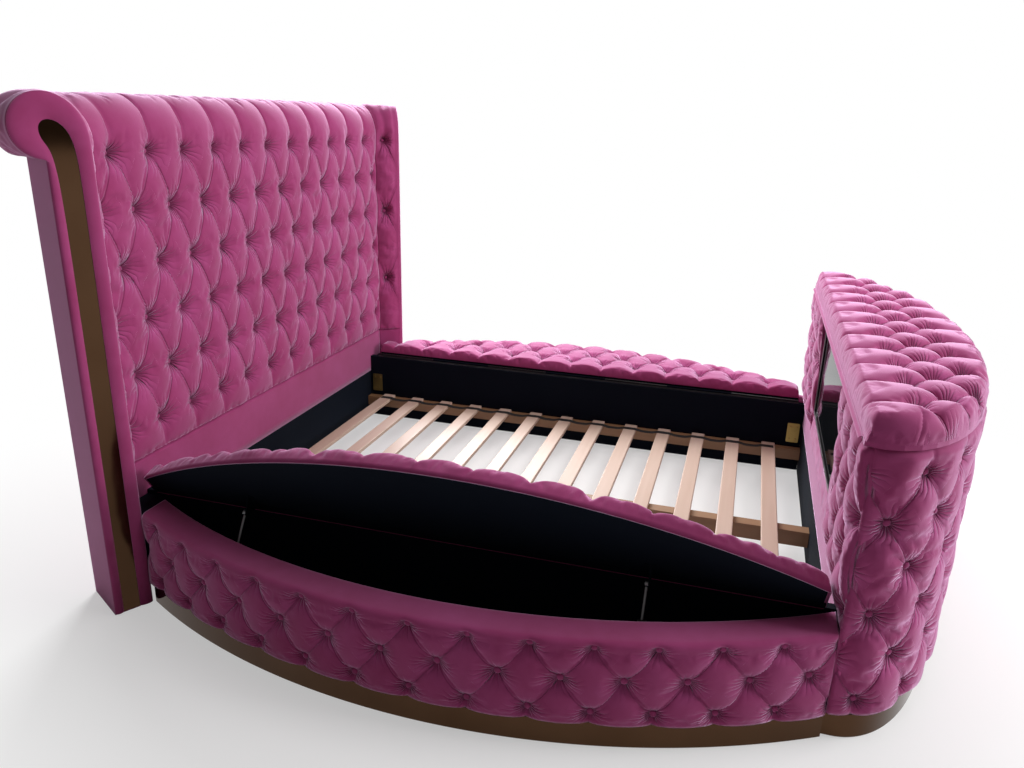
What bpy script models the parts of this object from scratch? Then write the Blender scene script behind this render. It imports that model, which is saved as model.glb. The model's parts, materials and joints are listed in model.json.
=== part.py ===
"""A tufted storage bed with a rolled, winged headboard, two bow-fronted side boxes whose
lids lift on struts, a sprung-slat well, and a rounded footboard that holds a television.
Metres, +Z up, head end towards +Y, origin on the floor under the middle of the bed.
"""

import math

import bmesh
import bpy
from mathutils import Vector

# Mattress and overall size
MATTRESS_WIDTH = 1.50
MATTRESS_LENGTH = 2.00
MATTRESS_SIDE_PLAY = 0.02
MATTRESS_END_PLAY = 0.01
TOUCH_GAP = 0.0003
OVERRUN = 0.004
WELD = 0.00001
FLAT_ANGLE = math.radians(0.05)
COLUMN_SPARE_SHARE = 0.3
SKIRT_FOOT_SHARE = 0.7

# Headboard: "out" is measured from the plain fabric face towards the back of the bed
HEADBOARD_HEIGHT = 1.46
HEADBOARD_DEPTH = 0.109
HEADBOARD_PAST_WELL = 0.1067
WING_LENGTH = 0.108
WING_FLARE = math.radians(30.0)
ROLL_RADIUS = 0.081
ROLL_OVERHANG = 0.073
ROLL_PAD = 0.030
SHOULDER_DROP = 0.117
HEADBOARD_PAD = 0.036
HEAD_BUTTON_PITCH = 0.1537
HEAD_ROW_PITCH = 0.1608
HEAD_ROWS = 6
HEAD_TOP_ROW_DROP = 0.153
HEAD_SEAM_DROP = 0.098
HEAD_SEAM_WIDTH = 0.014
HEAD_SEAM_SINK = 0.006
HEAD_PUFF = 0.012
HEAD_SINK = 0.012
PAD_FLOOR_LIFT = 0.004
ROLL_ANGLES = [math.radians(angle) for angle in (60, 30, 0, -40)]
ROLL_END_ANGLE = math.radians(-80.0)
SHOULDER_ANGLES = [math.radians(angle) for angle in (30, 60, 90)]
SHOULDER_FADE_SHARES = (0.85, 0.65, 0.45)
SHOULDER_DROP_SHARES = (0.3, 0.5, 0.45)
ROLL_FADE_SHARES = (0.3, 0.15, 0.0, 0.0)

# Mirror-metal inlay on the end of each wing, a strip that curls out into the roll
INLAY_THICKNESS = 0.003
INLAY_FRONT = 0.037
INLAY_BACK = 0.085
INLAY_CURL_OUTS = (0.0345, 0.0400, 0.0545, 0.0750, 0.0930, 0.1120, 0.1260, 0.1150, 0.0910, 0.0840)
INLAY_CURL_DROPS = (0.1200, 0.0950, 0.0620, 0.0530, 0.0510, 0.0580, 0.0840, 0.1160, 0.1370, 0.1560)

# Side boxes
RIM_HEIGHT = 0.300
RIM_WIDTH = 0.095
PLINTH_HEIGHT = 0.070
PLINTH_RECESS = 0.012
SIDE_BOX_WIDTH = 0.370
SIDE_TIP_WIDTH = 0.11223
SIDE_BELLY_SHIFT = 0.020
SIDE_END_GAP = 0.0065
SIDE_PAD = 0.045
RIM_PAD = 0.012
BOARD = 0.018
RAIL_THICKNESS = 0.025
RIM_BOARD_STEP = 0.002
BOX_FLOOR_THICKNESS = 0.012
FOOT_BLOCK_LENGTH = 0.053
HEAD_BLOCK_LENGTH = 0.090
WING_CLEARANCE = 0.003
SIDE_BUTTON_PITCH = 0.149
SIDE_FIRST_ROW_LIFT = 0.024
SIDE_TOP_ROW_DROP = 0.025
SIDE_PUFF = 0.014
SIDE_SINK = 0.014
RIM_ROUND = 0.016

# Lids of the side boxes: "reach" runs out from the hinge, "rise" up from it
LID_OPEN_ANGLE = math.radians(56.0)
LID_BOARD = 0.014
LID_PAD = 0.0345
LID_EDGE_GAP = 0.010
LID_FOOT_GAP = 0.030
LID_HEAD_GAP = 0.040
LID_TIP_REACH = 0.0725
LID_BUTTON_PITCH = 0.1458
LID_ROW_PITCH = 0.1072
LID_FIRST_ROW = 0.0965
LID_PUFF = 0.007
LID_SINK = 0.010
LID_EDGE_ROUND = 0.010
LID_BUTTON_START = 0.162
LID_SKIRT_SHARE = 0.55
LID_EDGE_DROP_SHARE = 1.5

# Lid hinges
KNUCKLE_RADIUS = 0.0045
HINGE_PIN_RADIUS = 0.0020
HINGE_BORE_RADIUS = 0.0025
LEAF_THICKNESS = 0.0015
FIXED_LEAF_WIDTH = 0.024
MOVING_LEAF_WIDTH = 0.028
KNUCKLE_GAP = 0.0006
KNUCKLES = 7

# Lid struts, in reach and rise from the lid hinge, with the lid shut
STRUT_PLACE_SHARES = (0.225, 0.80198)
STRUT_ARM = 0.055
STRUT_ARM_ANGLE = math.radians(45.0)
STRUT_FOOT_REACH = 0.170
STRUT_FOOT_LIFT = 0.0525
STRUT_TUBE_RADIUS = 0.0115
STRUT_BORE_RADIUS = 0.0090
STRUT_TUBE_LENGTH = 0.125
STRUT_TUBE_BLIND = 0.030
STRUT_NECK_LENGTH = 0.016
STRUT_ROD_RADIUS = 0.0040
STRUT_ROD_LENGTH = 0.120
STRUT_EYE_RADIUS = 0.0095
STRUT_EYE_BORE = 0.0047
STRUT_EYE_THICKNESS = 0.008
STRUT_SHAFT_START_SHARE = 0.7
STUD_RADIUS = 0.0040
STUD_LENGTH = 0.014
BRACKET_THICKNESS = 0.003
BRACKET_LENGTH = 0.075
BRACKET_FOOT_WIDTH = 0.032

# Slatted base
SLAT_COUNT = 13
SLAT_WIDTH = 0.055
SLAT_THICKNESS = 0.016
SLAT_TOP = 0.121
SLAT_END_PLAY = 0.018
FIRST_SLAT = 0.133
LAST_SLAT_GAP = 0.111
LEDGER_WIDTH = 0.035
LEDGER_HEIGHT = 0.045
CENTRE_RAIL_WIDTH = 0.045
CENTRE_RAIL_HEIGHT = 0.055
HEAD_CROSSBOARD_TOP = 0.226
FOOT_CROSSBOARD_TOP = 0.202

# Footboard: "inset" is measured in from the crest of the outer tufting
FOOT_DEPTH = 0.3625
FOOT_PAST_WELL = 0.135
FOOT_BODY_HEIGHT = 0.7725
FOOT_PAD = 0.045
FOOT_FACE_PAD = 0.018
FOOT_FACE_PAD_STEP = 0.010
FOOT_BUTTON_PITCH = 0.165
FOOT_FIRST_ROW_LIFT = 0.043
FOOT_ROWS = 6
FOOT_TOP_ROW_DROP = 0.0655
FOOT_PUFF = 0.014
FOOT_SINK = 0.014
FOOT_PLINTH_INSET = 0.020
FACE_BUTTON_PITCH = 0.1464
FACE_FIRST_BUTTON_SHARE = 3.5
FACE_PUFF = 0.022
FACE_SINK = 0.012
FACE_EDGE_ROUND = 0.004
FACE_LIFT = 0.002
FACE_CORNER_CLEARANCE = 0.002

# Television in its window
WINDOW_HALF = 0.4090
WINDOW_SILL = 0.394
WINDOW_HEAD_BAR = 0.0145
TV_DEPTH = 0.055
TV_BEZEL = 0.012
TV_SCREEN_SINK = 0.003
TV_SCREEN_THICKNESS = 0.003
TV_CLEARANCE = 0.001
TV_LEDGE_WIDTH = 0.60
TV_LEDGE_DEPTH = 0.060
TV_LEDGE_THICKNESS = 0.020

# Cushioned lid of the footboard
FOOT_LID_OVERHANG = 0.020
FOOT_LID_BOARD = 0.012
FOOT_LID_CROWN = 0.0655
FOOT_LID_PITCH = 0.1565
FOOT_LID_ROW_PITCH = 0.080
FOOT_LID_FIRST_ROW = 0.091
FOOT_LID_PUFF = 0.012
FOOT_LID_SINK = 0.030
FOOT_LID_EDGE_ROUND = 0.012
FOOT_LID_TIP_SHARES = (0.93, 0.98, 1.0)
FOOT_LID_SKIRT_SHARE = 0.6
FOOT_LID_EDGE_DROP_SHARE = 1.5
FOOT_HINGE_HALF = 0.36
FOOT_KNUCKLES = 5

# Worked out from the sizes above
well_half = MATTRESS_WIDTH / 2 + MATTRESS_SIDE_PLAY
well_length = MATTRESS_LENGTH + 2 * MATTRESS_END_PLAY
rail_outer = well_half + RAIL_THICKNESS
overall_width = 2 * (rail_outer + SIDE_BOX_WIDTH)
headboard_corner_half = well_half + HEADBOARD_PAST_WELL
foot_half_width = well_half + FOOT_PAST_WELL
foot_face_pad_half = foot_half_width - FOOT_FACE_PAD_STEP
slat_length = 2 * (well_half - SLAT_END_PLAY)
slat_pitch = (well_length - FIRST_SLAT - LAST_SLAT_GAP) / (SLAT_COUNT - 1)
strut_spots = [share * well_length for share in STRUT_PLACE_SHARES]
overall_length = FOOT_DEPTH + well_length + HEADBOARD_DEPTH + ROLL_OVERHANG
foot_y = FOOT_DEPTH - overall_length / 2
head_y = foot_y + well_length
roll_out = HEADBOARD_DEPTH + ROLL_OVERHANG - ROLL_RADIUS
roll_height = HEADBOARD_HEIGHT - ROLL_RADIUS
shoulder_height = HEADBOARD_HEIGHT - SHOULDER_DROP
mitre_slope = math.tan((math.pi / 2 - WING_FLARE) / 2)
side_belly = well_length / 2 - SIDE_BELLY_SHIFT
side_bow = SIDE_BOX_WIDTH - SIDE_TIP_WIDTH
side_arc_radius = (side_belly**2 + side_bow**2) / (2 * side_bow)
side_arc_x = overall_width / 2 - side_arc_radius
side_board_outer = side_arc_radius - SIDE_PAD
side_board_inner = side_board_outer - BOARD
box_floor_top = PLINTH_HEIGHT + TOUCH_GAP + BOX_FLOOR_THICKNESS
side_end = well_length - WING_LENGTH * math.cos(WING_FLARE) - SIDE_END_GAP
hinge_x = rail_outer + KNUCKLE_RADIUS
hinge_z = RIM_HEIGHT + KNUCKLE_RADIUS + TOUCH_GAP
rail_top = hinge_z - KNUCKLE_RADIUS - TOUCH_GAP
strut_foot_drop = hinge_z - box_floor_top - STRUT_FOOT_LIFT
side_row_pitch = (RIM_HEIGHT - SIDE_TOP_ROW_DROP - PLINTH_HEIGHT - SIDE_FIRST_ROW_LIFT) / 2
foot_rows_rise = FOOT_BODY_HEIGHT - FOOT_TOP_ROW_DROP - PLINTH_HEIGHT - FOOT_FIRST_ROW_LIFT
foot_row_pitch = foot_rows_rise / (FOOT_ROWS - 1)
face_back = -FOOT_FACE_PAD
foot_bow = FOOT_DEPTH - FOOT_FACE_PAD
foot_hinge_y = FOOT_LID_OVERHANG + KNUCKLE_RADIUS
foot_hinge_z = FOOT_BODY_HEIGHT + KNUCKLE_RADIUS - LEAF_THICKNESS
foot_body_top = FOOT_BODY_HEIGHT - LEAF_THICKNESS - TOUCH_GAP

MATERIALS = {
    "velvet": ((0.50, 0.06, 0.25), 0.85, 0.0),
    "lining": ((0.012, 0.014, 0.028), 0.9, 0.0),
    "mirror_gold": ((0.55, 0.38, 0.16), 0.15, 1.0),
    "birch": ((0.72, 0.52, 0.34), 0.6, 0.0),
    "steel": ((0.30, 0.30, 0.31), 0.4, 1.0),
    "black_steel": ((0.02, 0.02, 0.02), 0.45, 1.0),
    "tv_case": ((0.015, 0.015, 0.017), 0.35, 0.0),
    "tv_glass": ((0.008, 0.009, 0.010), 0.05, 0.0),
}


# Scene set-up

def clear_scene():
    for item in list(bpy.data.objects):
        bpy.data.objects.remove(item, do_unlink=True)


def new_collection(name):
    collection = bpy.data.collections.new(name)
    bpy.context.scene.collection.children.link(collection)
    return collection


def material(slot):
    found = bpy.data.materials.get(slot)
    if found:
        return found
    colour, roughness, metallic = MATERIALS[slot]
    made = bpy.data.materials.new(slot)
    made.use_nodes = True
    shader = made.node_tree.nodes["Principled BSDF"]
    shader.inputs["Base Color"].default_value = (*colour, 1.0)
    shader.inputs["Roughness"].default_value = roughness
    shader.inputs["Metallic"].default_value = metallic
    return made


def empty(name, location, parent=None, turn=0.0):
    made = bpy.data.objects.new(name, None)
    made.location = location
    made.rotation_euler = (0.0, turn, 0.0)
    made.parent = parent
    parts.objects.link(made)
    return made


def new_object(name, mesh, slot, parent):
    made = bpy.data.objects.new(name, mesh)
    made.parent = parent
    if slot:
        mesh.materials.append(material(slot))
    parts.objects.link(made)
    return made


def from_bmesh(name, work, slot, parent):
    bmesh.ops.recalc_face_normals(work, faces=work.faces)
    mesh = bpy.data.meshes.new(name)
    work.to_mesh(mesh)
    work.free()
    return new_object(name, mesh, slot, parent)


def smooth(item, degrees=35.0):
    item.data.shade_smooth()
    item.data.set_sharp_from_angle(angle=math.radians(degrees))
    return item


# Shapes

def box(name, low, high, slot=None, parent=None):
    low, high = Vector(low), Vector(high)
    work = bmesh.new()
    bmesh.ops.create_cube(work, size=1.0)
    bmesh.ops.scale(work, vec=high - low, verts=work.verts)
    made = from_bmesh(name, work, slot, parent)
    made.location = (low + high) / 2
    return made


def bar(name, start, end, radius, sides=12, slot=None, parent=None):
    start, end = Vector(start), Vector(end)
    work = bmesh.new()
    bmesh.ops.create_cone(
        work, cap_ends=True, segments=sides, radius1=radius, radius2=radius, depth=(end - start).length
    )
    made = from_bmesh(name, work, slot, parent)
    made.location = (start + end) / 2
    made.rotation_euler = (end - start).to_track_quat("Z", "Y").to_euler()
    return smooth(made)


def plate(name, outline, low, high, slot=None, parent=None):
    """A flat outline in X and Y, from height low to height high."""
    curve = bpy.data.curves.new(name + "_outline", "CURVE")
    curve.dimensions = "2D"
    curve.fill_mode = "BOTH"
    curve.extrude = (high - low) / 2
    spline = curve.splines.new("POLY")
    spline.points.add(len(outline) - 1)
    for point, (x, y) in zip(spline.points, outline):
        point.co = (x, y, 0.0, 1.0)
    spline.use_cyclic_u = True
    drawn = bpy.data.objects.new(name + "_outline", curve)
    drawn.location = (0.0, 0.0, (low + high) / 2)
    bpy.context.scene.collection.objects.link(drawn)
    bpy.context.view_layer.update()
    filled = bpy.data.meshes.new_from_object(drawn.evaluated_get(bpy.context.evaluated_depsgraph_get()))
    work = bmesh.new()
    work.from_mesh(filled)
    work.transform(drawn.matrix_world)
    bmesh.ops.remove_doubles(work, verts=work.verts, dist=WELD)
    bpy.data.objects.remove(drawn, do_unlink=True)
    bpy.data.meshes.remove(filled)
    return from_bmesh(name, work, slot, parent)


def upright_plate(name, outline, low, high, slot=None, parent=None):
    """An outline in X and Z, from Y low to Y high."""
    made = plate(name, outline, -high, -low, slot, parent)
    made.rotation_euler = (math.pi / 2, 0.0, 0.0)
    return made


def as_tool(target, tool, operation):
    parts.objects.unlink(tool)
    tools.objects.link(tool)
    tool.parent = target.parent
    tool.hide_render = True
    tool.display_type = "WIRE"
    change = target.modifiers.new(operation.lower(), "BOOLEAN")
    change.operation = operation
    change.solver = "EXACT"
    change.object = tool
    return target


def join(target, *added):
    for tool in added:
        as_tool(target, tool, "UNION")
    return target


def cut(target, *removed):
    for tool in removed:
        as_tool(target, tool, "DIFFERENCE")
    return target


def loft(name, sections, slot, parent):
    """Closed sections of equal count joined in order, with the two ends filled."""
    work = bmesh.new()
    rings = [[work.verts.new(point) for point in section] for section in sections]
    for first, second in zip(rings, rings[1:]):
        for index in range(len(first)):
            after = (index + 1) % len(first)
            work.faces.new((first[index], first[after], second[after], second[index]))
    work.faces.new(rings[0])
    work.faces.new(rings[-1])
    return from_bmesh(name, work, slot, parent)


def fold_lines(work, table, phase):
    """Splits the grid's quads along the sewn folds, which run diagonally from button to button."""
    for j in range(len(table) - 1):
        for i in range(len(table[0]) - 1):
            corners = (table[j][i], table[j][i + 1], table[j + 1][i + 1], table[j + 1][i])
            face = work.faces.get(corners) if all(corners) else None
            if not face:
                continue
            rising = (i + j + phase) % 2 == 0
            ends = (corners[0], corners[2]) if rising else (corners[1], corners[3])
            bmesh.utils.face_split(face, *ends)


def quilt_grid(columns, rows, place, keep=None):
    """A grid of len(columns) by len(rows) points, each put where place(column, row) says."""
    work = bmesh.new()
    bmesh.ops.create_grid(work, x_segments=len(columns) - 1, y_segments=len(rows) - 1, size=1.0)
    work.verts.ensure_lookup_table()
    across = len(columns)
    table = [[work.verts[j * across + i] for i in range(across)] for j in range(len(rows))]
    if keep:
        dropped = []
        for j in range(len(rows) - 1):
            for i in range(across - 1):
                if not keep(i, j):
                    corners = (table[j][i], table[j][i + 1], table[j + 1][i + 1], table[j + 1][i])
                    dropped.append(work.faces.get(corners))
        bmesh.ops.delete(work, geom=dropped, context="FACES")
        table = [[vert if vert.is_valid else None for vert in line] for line in table]
    for line, row in zip(table, rows):
        for vert, column in zip(line, columns):
            if vert:
                vert.co = place(column, row)
    return work, table


def backed_pad(name, columns, rows, front, back, slot, parent, phase=0, keep=None):
    """A tufted front sheet, a plain back sheet against its board, and the edges between."""
    work, table = quilt_grid(columns, rows, front, keep)
    sheet = list(work.faces)
    border = [edge for edge in work.edges if edge.is_boundary]
    copy = bmesh.ops.duplicate(work, geom=list(work.verts) + list(work.edges) + sheet)
    twin = copy["vert_map"]
    for line, row in zip(table, rows):
        for vert, column in zip(line, columns):
            if vert:
                twin[vert].co = back(column, row)
    for edge in border:
        first, second = edge.verts
        work.faces.new((first, second, twin[second], twin[first]))
    fold_lines(work, table, phase)
    bmesh.ops.recalc_face_normals(work, faces=work.faces)
    behind = {twin[vert] for line in table for vert in line if vert}
    flat = [edge for edge in work.edges if all(vert in behind for vert in edge.verts)]
    bmesh.ops.dissolve_limit(
        work, angle_limit=FLAT_ANGLE, use_dissolve_boundaries=False, verts=list(behind), edges=flat
    )
    return smooth(from_bmesh(name, work, slot, parent), 60.0)


def domed_pad(name, columns, rows, top, skirt, slot, parent, phase=0):
    """A tufted crown over a flat base. top gives a point, and the points of places outside the
    outline are all moved onto it. skirt lists (outward step, height) rings down to the base."""
    work, table = quilt_grid(columns, rows, top)
    fold_lines(work, table, phase)
    bmesh.ops.remove_doubles(work, verts=work.verts, dist=WELD)
    bmesh.ops.dissolve_degenerate(work, edges=work.edges, dist=WELD)
    loose = [vert for vert in work.verts if not vert.link_faces]
    bmesh.ops.delete(work, geom=loose, context="VERTS")
    border = [edge for edge in work.edges if edge.is_boundary]
    outward = {}
    for edge in border:
        first, second = edge.verts
        run = second.co - first.co
        normal = Vector((run.y, -run.x, 0.0)).normalized()
        inside = edge.link_faces[0].calc_center_median() - first.co
        if normal.dot(inside) > 0:
            normal = -normal
        for vert in (first, second):
            outward.setdefault(vert, []).append(normal)
    place = {vert: (vert.co.copy(), sum(found, Vector()).normalized()) for vert, found in outward.items()}
    ring = border
    for step, height in skirt:
        made = bmesh.ops.extrude_edge_only(work, edges=ring)["geom"]
        lower = [item for item in made if isinstance(item, bmesh.types.BMVert)]
        below = {}
        for vert in lower:
            source = next(e.other_vert(vert) for e in vert.link_edges if e.other_vert(vert) in place)
            start, normal = place[source]
            below[vert] = (start, normal)
        for vert, (start, normal) in below.items():
            vert.co = Vector((start.x + normal.x * step, start.y + normal.y * step, height))
        place = below
        ring = [item for item in made if isinstance(item, bmesh.types.BMEdge) and item.is_boundary]
    bmesh.ops.contextual_create(work, geom=ring)
    return smooth(from_bmesh(name, work, slot, parent), 60.0)


# Tufting

def diamond(along, up, pitch, row_pitch):
    """Swell from 0 on the folds to 1 mid-diamond, and nearness to a button from 0 to 1.
    A button lies at along = 0, up = 0, and the rows are staggered."""
    first = along / pitch + up / (2 * row_pitch)
    second = along / pitch - up / (2 * row_pitch)
    swell = math.sqrt(abs(math.sin(math.pi * first) * math.sin(math.pi * second)))
    away = max(abs(first - round(first)), abs(second - round(second)))
    return swell, max(0.0, 1.0 - 2.0 * away) ** 2


def pleat(along, pitch):
    return abs(math.sin(math.pi * along / pitch))


def lattice(step, centre, ends):
    """Even places either side of the centre, kept off the two ends, and the ends themselves."""
    low, high = ends
    count = int((high - low) / step) + 1
    even = [centre + index * step for index in range(-count, count + 1)]
    spare = step * COLUMN_SPARE_SHARE
    return [low] + [place for place in even if low + spare < place < high - spare] + [high]


def centre_index(columns, centre, step):
    """The index that the centre has, or would have, among columns made by lattice."""
    return 1 - round((columns[1] - centre) / step)


# Headboard

def wing_point(side, past, out, height):
    across = headboard_corner_half + past * math.sin(WING_FLARE) + out * math.cos(WING_FLARE)
    return Vector((side * across, out * math.sin(WING_FLARE) - past * math.cos(WING_FLARE), height))


def head_rows():
    """Rows of the headboard's quilting from the bottom up: kind, value and its share of fade."""
    top_row = HEADBOARD_HEIGHT - HEAD_TOP_ROW_DROP
    last_row = top_row - (HEAD_ROWS - 1) * HEAD_ROW_PITCH
    seam = last_row - HEAD_SEAM_DROP
    rows = [("band", HEAD_CROSSBOARD_TOP + TOUCH_GAP), ("band", seam - HEAD_SEAM_WIDTH), ("seam", seam)]
    rows += [("tuft", last_row + index * HEAD_ROW_PITCH / 2) for index in range(2 * HEAD_ROWS - 1)]
    rows += [("tuft", shoulder_height)]
    rows += [("shoulder", angle) for angle in SHOULDER_ANGLES]
    rows += [("roll", angle) for angle in ROLL_ANGLES]
    rows += [("roll", ROLL_END_ANGLE)]
    return rows


def head_swell(along, row):
    """How far the quilting stands out from the plain face, towards the mattress."""
    kind, value = row
    top_row = HEADBOARD_HEIGHT - HEAD_TOP_ROW_DROP
    last_row = top_row - (HEAD_ROWS - 1) * HEAD_ROW_PITCH
    if kind == "band":
        return 0.0
    if kind == "seam":
        return -HEAD_SEAM_SINK
    if kind == "tuft" and value <= top_row + WELD:
        swell, near = diamond(along, value - top_row, HEAD_BUTTON_PITCH, HEAD_ROW_PITCH)
        return HEAD_PUFF * swell - HEAD_SINK * near
    if kind == "tuft":
        return HEAD_PUFF * pleat(along, HEAD_BUTTON_PITCH)
    if kind == "shoulder":
        index = SHOULDER_ANGLES.index(value)
        fade, drop = SHOULDER_FADE_SHARES[index], SHOULDER_DROP_SHARES[index]
        return HEAD_PUFF * (fade * pleat(along, HEAD_BUTTON_PITCH) - drop)
    if value in ROLL_ANGLES:
        fade = ROLL_FADE_SHARES[ROLL_ANGLES.index(value)]
        return HEAD_PUFF * fade * (pleat(along, HEAD_BUTTON_PITCH) - 1.0)
    return 0.0


def head_profile(row, depth):
    """Out and height of a row, at a depth under the plain fabric face."""
    kind, value = row
    if kind == "shoulder":
        across = (roll_out - depth) * math.cos(value)
        rise = (HEADBOARD_HEIGHT - shoulder_height - depth) * math.sin(value)
        return roll_out - across, shoulder_height + rise
    if kind == "roll":
        radius = ROLL_RADIUS - depth
        return roll_out + radius * math.cos(value), roll_height + radius * math.sin(value)
    return depth, value


def head_pad_depth(row):
    kind, value = row
    if kind == "shoulder":
        share = value / (math.pi / 2)
        return HEADBOARD_PAD + (ROLL_PAD - HEADBOARD_PAD) * share
    if kind == "roll":
        return ROLL_PAD
    return HEADBOARD_PAD


def core_profile():
    rows = [row for row in head_rows() if row[0] in ("shoulder", "roll")][:-1]
    points = [(HEADBOARD_PAD + TOUCH_GAP, 0.0), (HEADBOARD_PAD + TOUCH_GAP, shoulder_height)]
    points += [head_profile(row, head_pad_depth(row) + TOUCH_GAP) for row in rows]
    core_radius = ROLL_RADIUS - ROLL_PAD - TOUCH_GAP
    back_angle = -math.acos((HEADBOARD_DEPTH - roll_out) / core_radius)
    points.append((HEADBOARD_DEPTH, roll_height + core_radius * math.sin(back_angle)))
    points.append((HEADBOARD_DEPTH, 0.0))
    return points


def make_headboard(parent):
    profile = core_profile()
    half = headboard_corner_half
    sections = [
        [wing_point(-1.0, WING_LENGTH, out, height) for out, height in profile],
        [Vector((-half - mitre_slope * out, out, height)) for out, height in profile],
        [Vector((half + mitre_slope * out, out, height)) for out, height in profile],
        [wing_point(1.0, WING_LENGTH, out, height) for out, height in profile],
    ]
    smooth(loft("headboard_core", sections, "lining", parent))

    rows = head_rows()
    columns = lattice(HEAD_BUTTON_PITCH / 4, 0.0, (-half, half))

    def place(along, row, depth):
        out, height = head_profile(row, depth)
        if abs(abs(along) - half) < WELD:
            along = math.copysign(half + mitre_slope * out - TOUCH_GAP, along)
        return Vector((along, out, height))

    def front(along, row):
        return place(along, row, -head_swell(along, row))

    def back(along, row):
        return place(along, row, head_pad_depth(row))

    phase = (columns.index(0.0) + 2 * HEAD_ROWS + 1) % 2
    backed_pad("headboard_pad", columns, rows, front, back, "velvet", parent, phase)

    for side, word in ((-1.0, "near"), (1.0, "far")):
        make_wing_pad("wing_pad_" + word, side, parent)
        make_inlay("wing_inlay_" + word, side, parent)


def make_wing_pad(name, side, parent):
    rows = head_rows()
    rows[0] = ("band", PAD_FLOOR_LIFT)
    start = headboard_corner_half
    button = HEAD_BUTTON_PITCH * round((start + WING_LENGTH / 2) / HEAD_BUTTON_PITCH)
    columns = lattice(HEAD_BUTTON_PITCH / 4, button, (start, start + WING_LENGTH))

    def place(along, row, depth):
        out, height = head_profile(row, depth)
        past = along - start
        if past < WELD:
            past = TOUCH_GAP - mitre_slope * out
        return wing_point(side, past, out, height)

    def front(along, row):
        return place(along, row, -head_swell(along, row))

    def back(along, row):
        return place(along, row, head_pad_depth(row))

    phase = (centre_index(columns, button, HEAD_BUTTON_PITCH / 4) + 2 * HEAD_ROWS + 1) % 2
    backed_pad(name, columns, rows, front, back, "velvet", parent, phase)


def make_inlay(name, side, parent):
    """A strip up the wing's end that curls out into the roll."""
    outline = [(INLAY_FRONT, PAD_FLOOR_LIFT / 2)]
    outline += [(out, HEADBOARD_HEIGHT - drop) for out, drop in zip(INLAY_CURL_OUTS, INLAY_CURL_DROPS)]
    outline += [(INLAY_BACK, PAD_FLOOR_LIFT / 2)]
    near_end = WING_LENGTH + TOUCH_GAP
    sections = [
        [wing_point(side, near_end, out, height) for out, height in outline],
        [wing_point(side, near_end + INLAY_THICKNESS, out, height) for out, height in outline],
    ]
    loft(name, sections, "mirror_gold", parent)


# Side boxes: y is measured from the footboard's face

def bow_x(radius, y):
    return side_arc_x + math.sqrt(radius**2 - (y - side_belly) ** 2)


def side_arcs(start, end):
    """Distances round the bow from its belly, where the side box has its facets."""
    ends = [math.asin((y - side_belly) / side_arc_radius) * side_arc_radius for y in (start, end)]
    return lattice(SIDE_BUTTON_PITCH / 2, 0.0, ends)


def arc_y(arc):
    return side_belly + side_arc_radius * math.sin(arc / side_arc_radius)


def bow_strip(side, outer, inner, start, end):
    ys = [arc_y(arc) for arc in side_arcs(start, end)]
    points = [(side * bow_x(outer, y), y) for y in ys]
    points += [(side * bow_x(inner, y), y) for y in reversed(ys)]
    return points


def wing_line_x(y):
    """Where the wing's plain face stands at a distance y from the foot, less a clearance."""
    back = (well_length - y) / math.cos(WING_FLARE)
    clear = WING_CLEARANCE / math.cos(WING_FLARE)
    return headboard_corner_half + back * math.sin(WING_FLARE) - clear


def make_side_box(side, word, parent):
    start = TOUCH_GAP + FACE_EDGE_ROUND
    ends = sorted((side * well_half, side * rail_outer))
    low, high = (ends[0], TOUCH_GAP, 0.0), (ends[1], well_length - TOUCH_GAP, rail_top)
    box("side_rail_" + word, low, high, "lining", parent)
    make_side_panel(side, word, start, parent)

    rail_side = side * (rail_outer + TOUCH_GAP)
    ys = [arc_y(arc) for arc in side_arcs(start, side_end)]
    outline = [(rail_side, start)]
    outline += [(side * (bow_x(side_board_inner, y) - TOUCH_GAP), y) for y in ys]
    outline.append((side * (wing_line_x(well_length) - OVERRUN), well_length - TOUCH_GAP))
    outline.append((rail_side, well_length - TOUCH_GAP))
    floor_low = PLINTH_HEIGHT + TOUCH_GAP
    plate("side_floor_" + word, outline, floor_low, box_floor_top, "lining", parent)

    outer, inner = side_arc_radius - PLINTH_RECESS, side_board_inner - BOARD
    outline = bow_strip(side, outer, inner, start + RIM_BOARD_STEP, side_end - WING_CLEARANCE)
    plate("side_plinth_" + word, outline, 0.0, PLINTH_HEIGHT, "mirror_gold", parent)
    make_side_pad("side_pad_" + word, side, start, parent)


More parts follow.
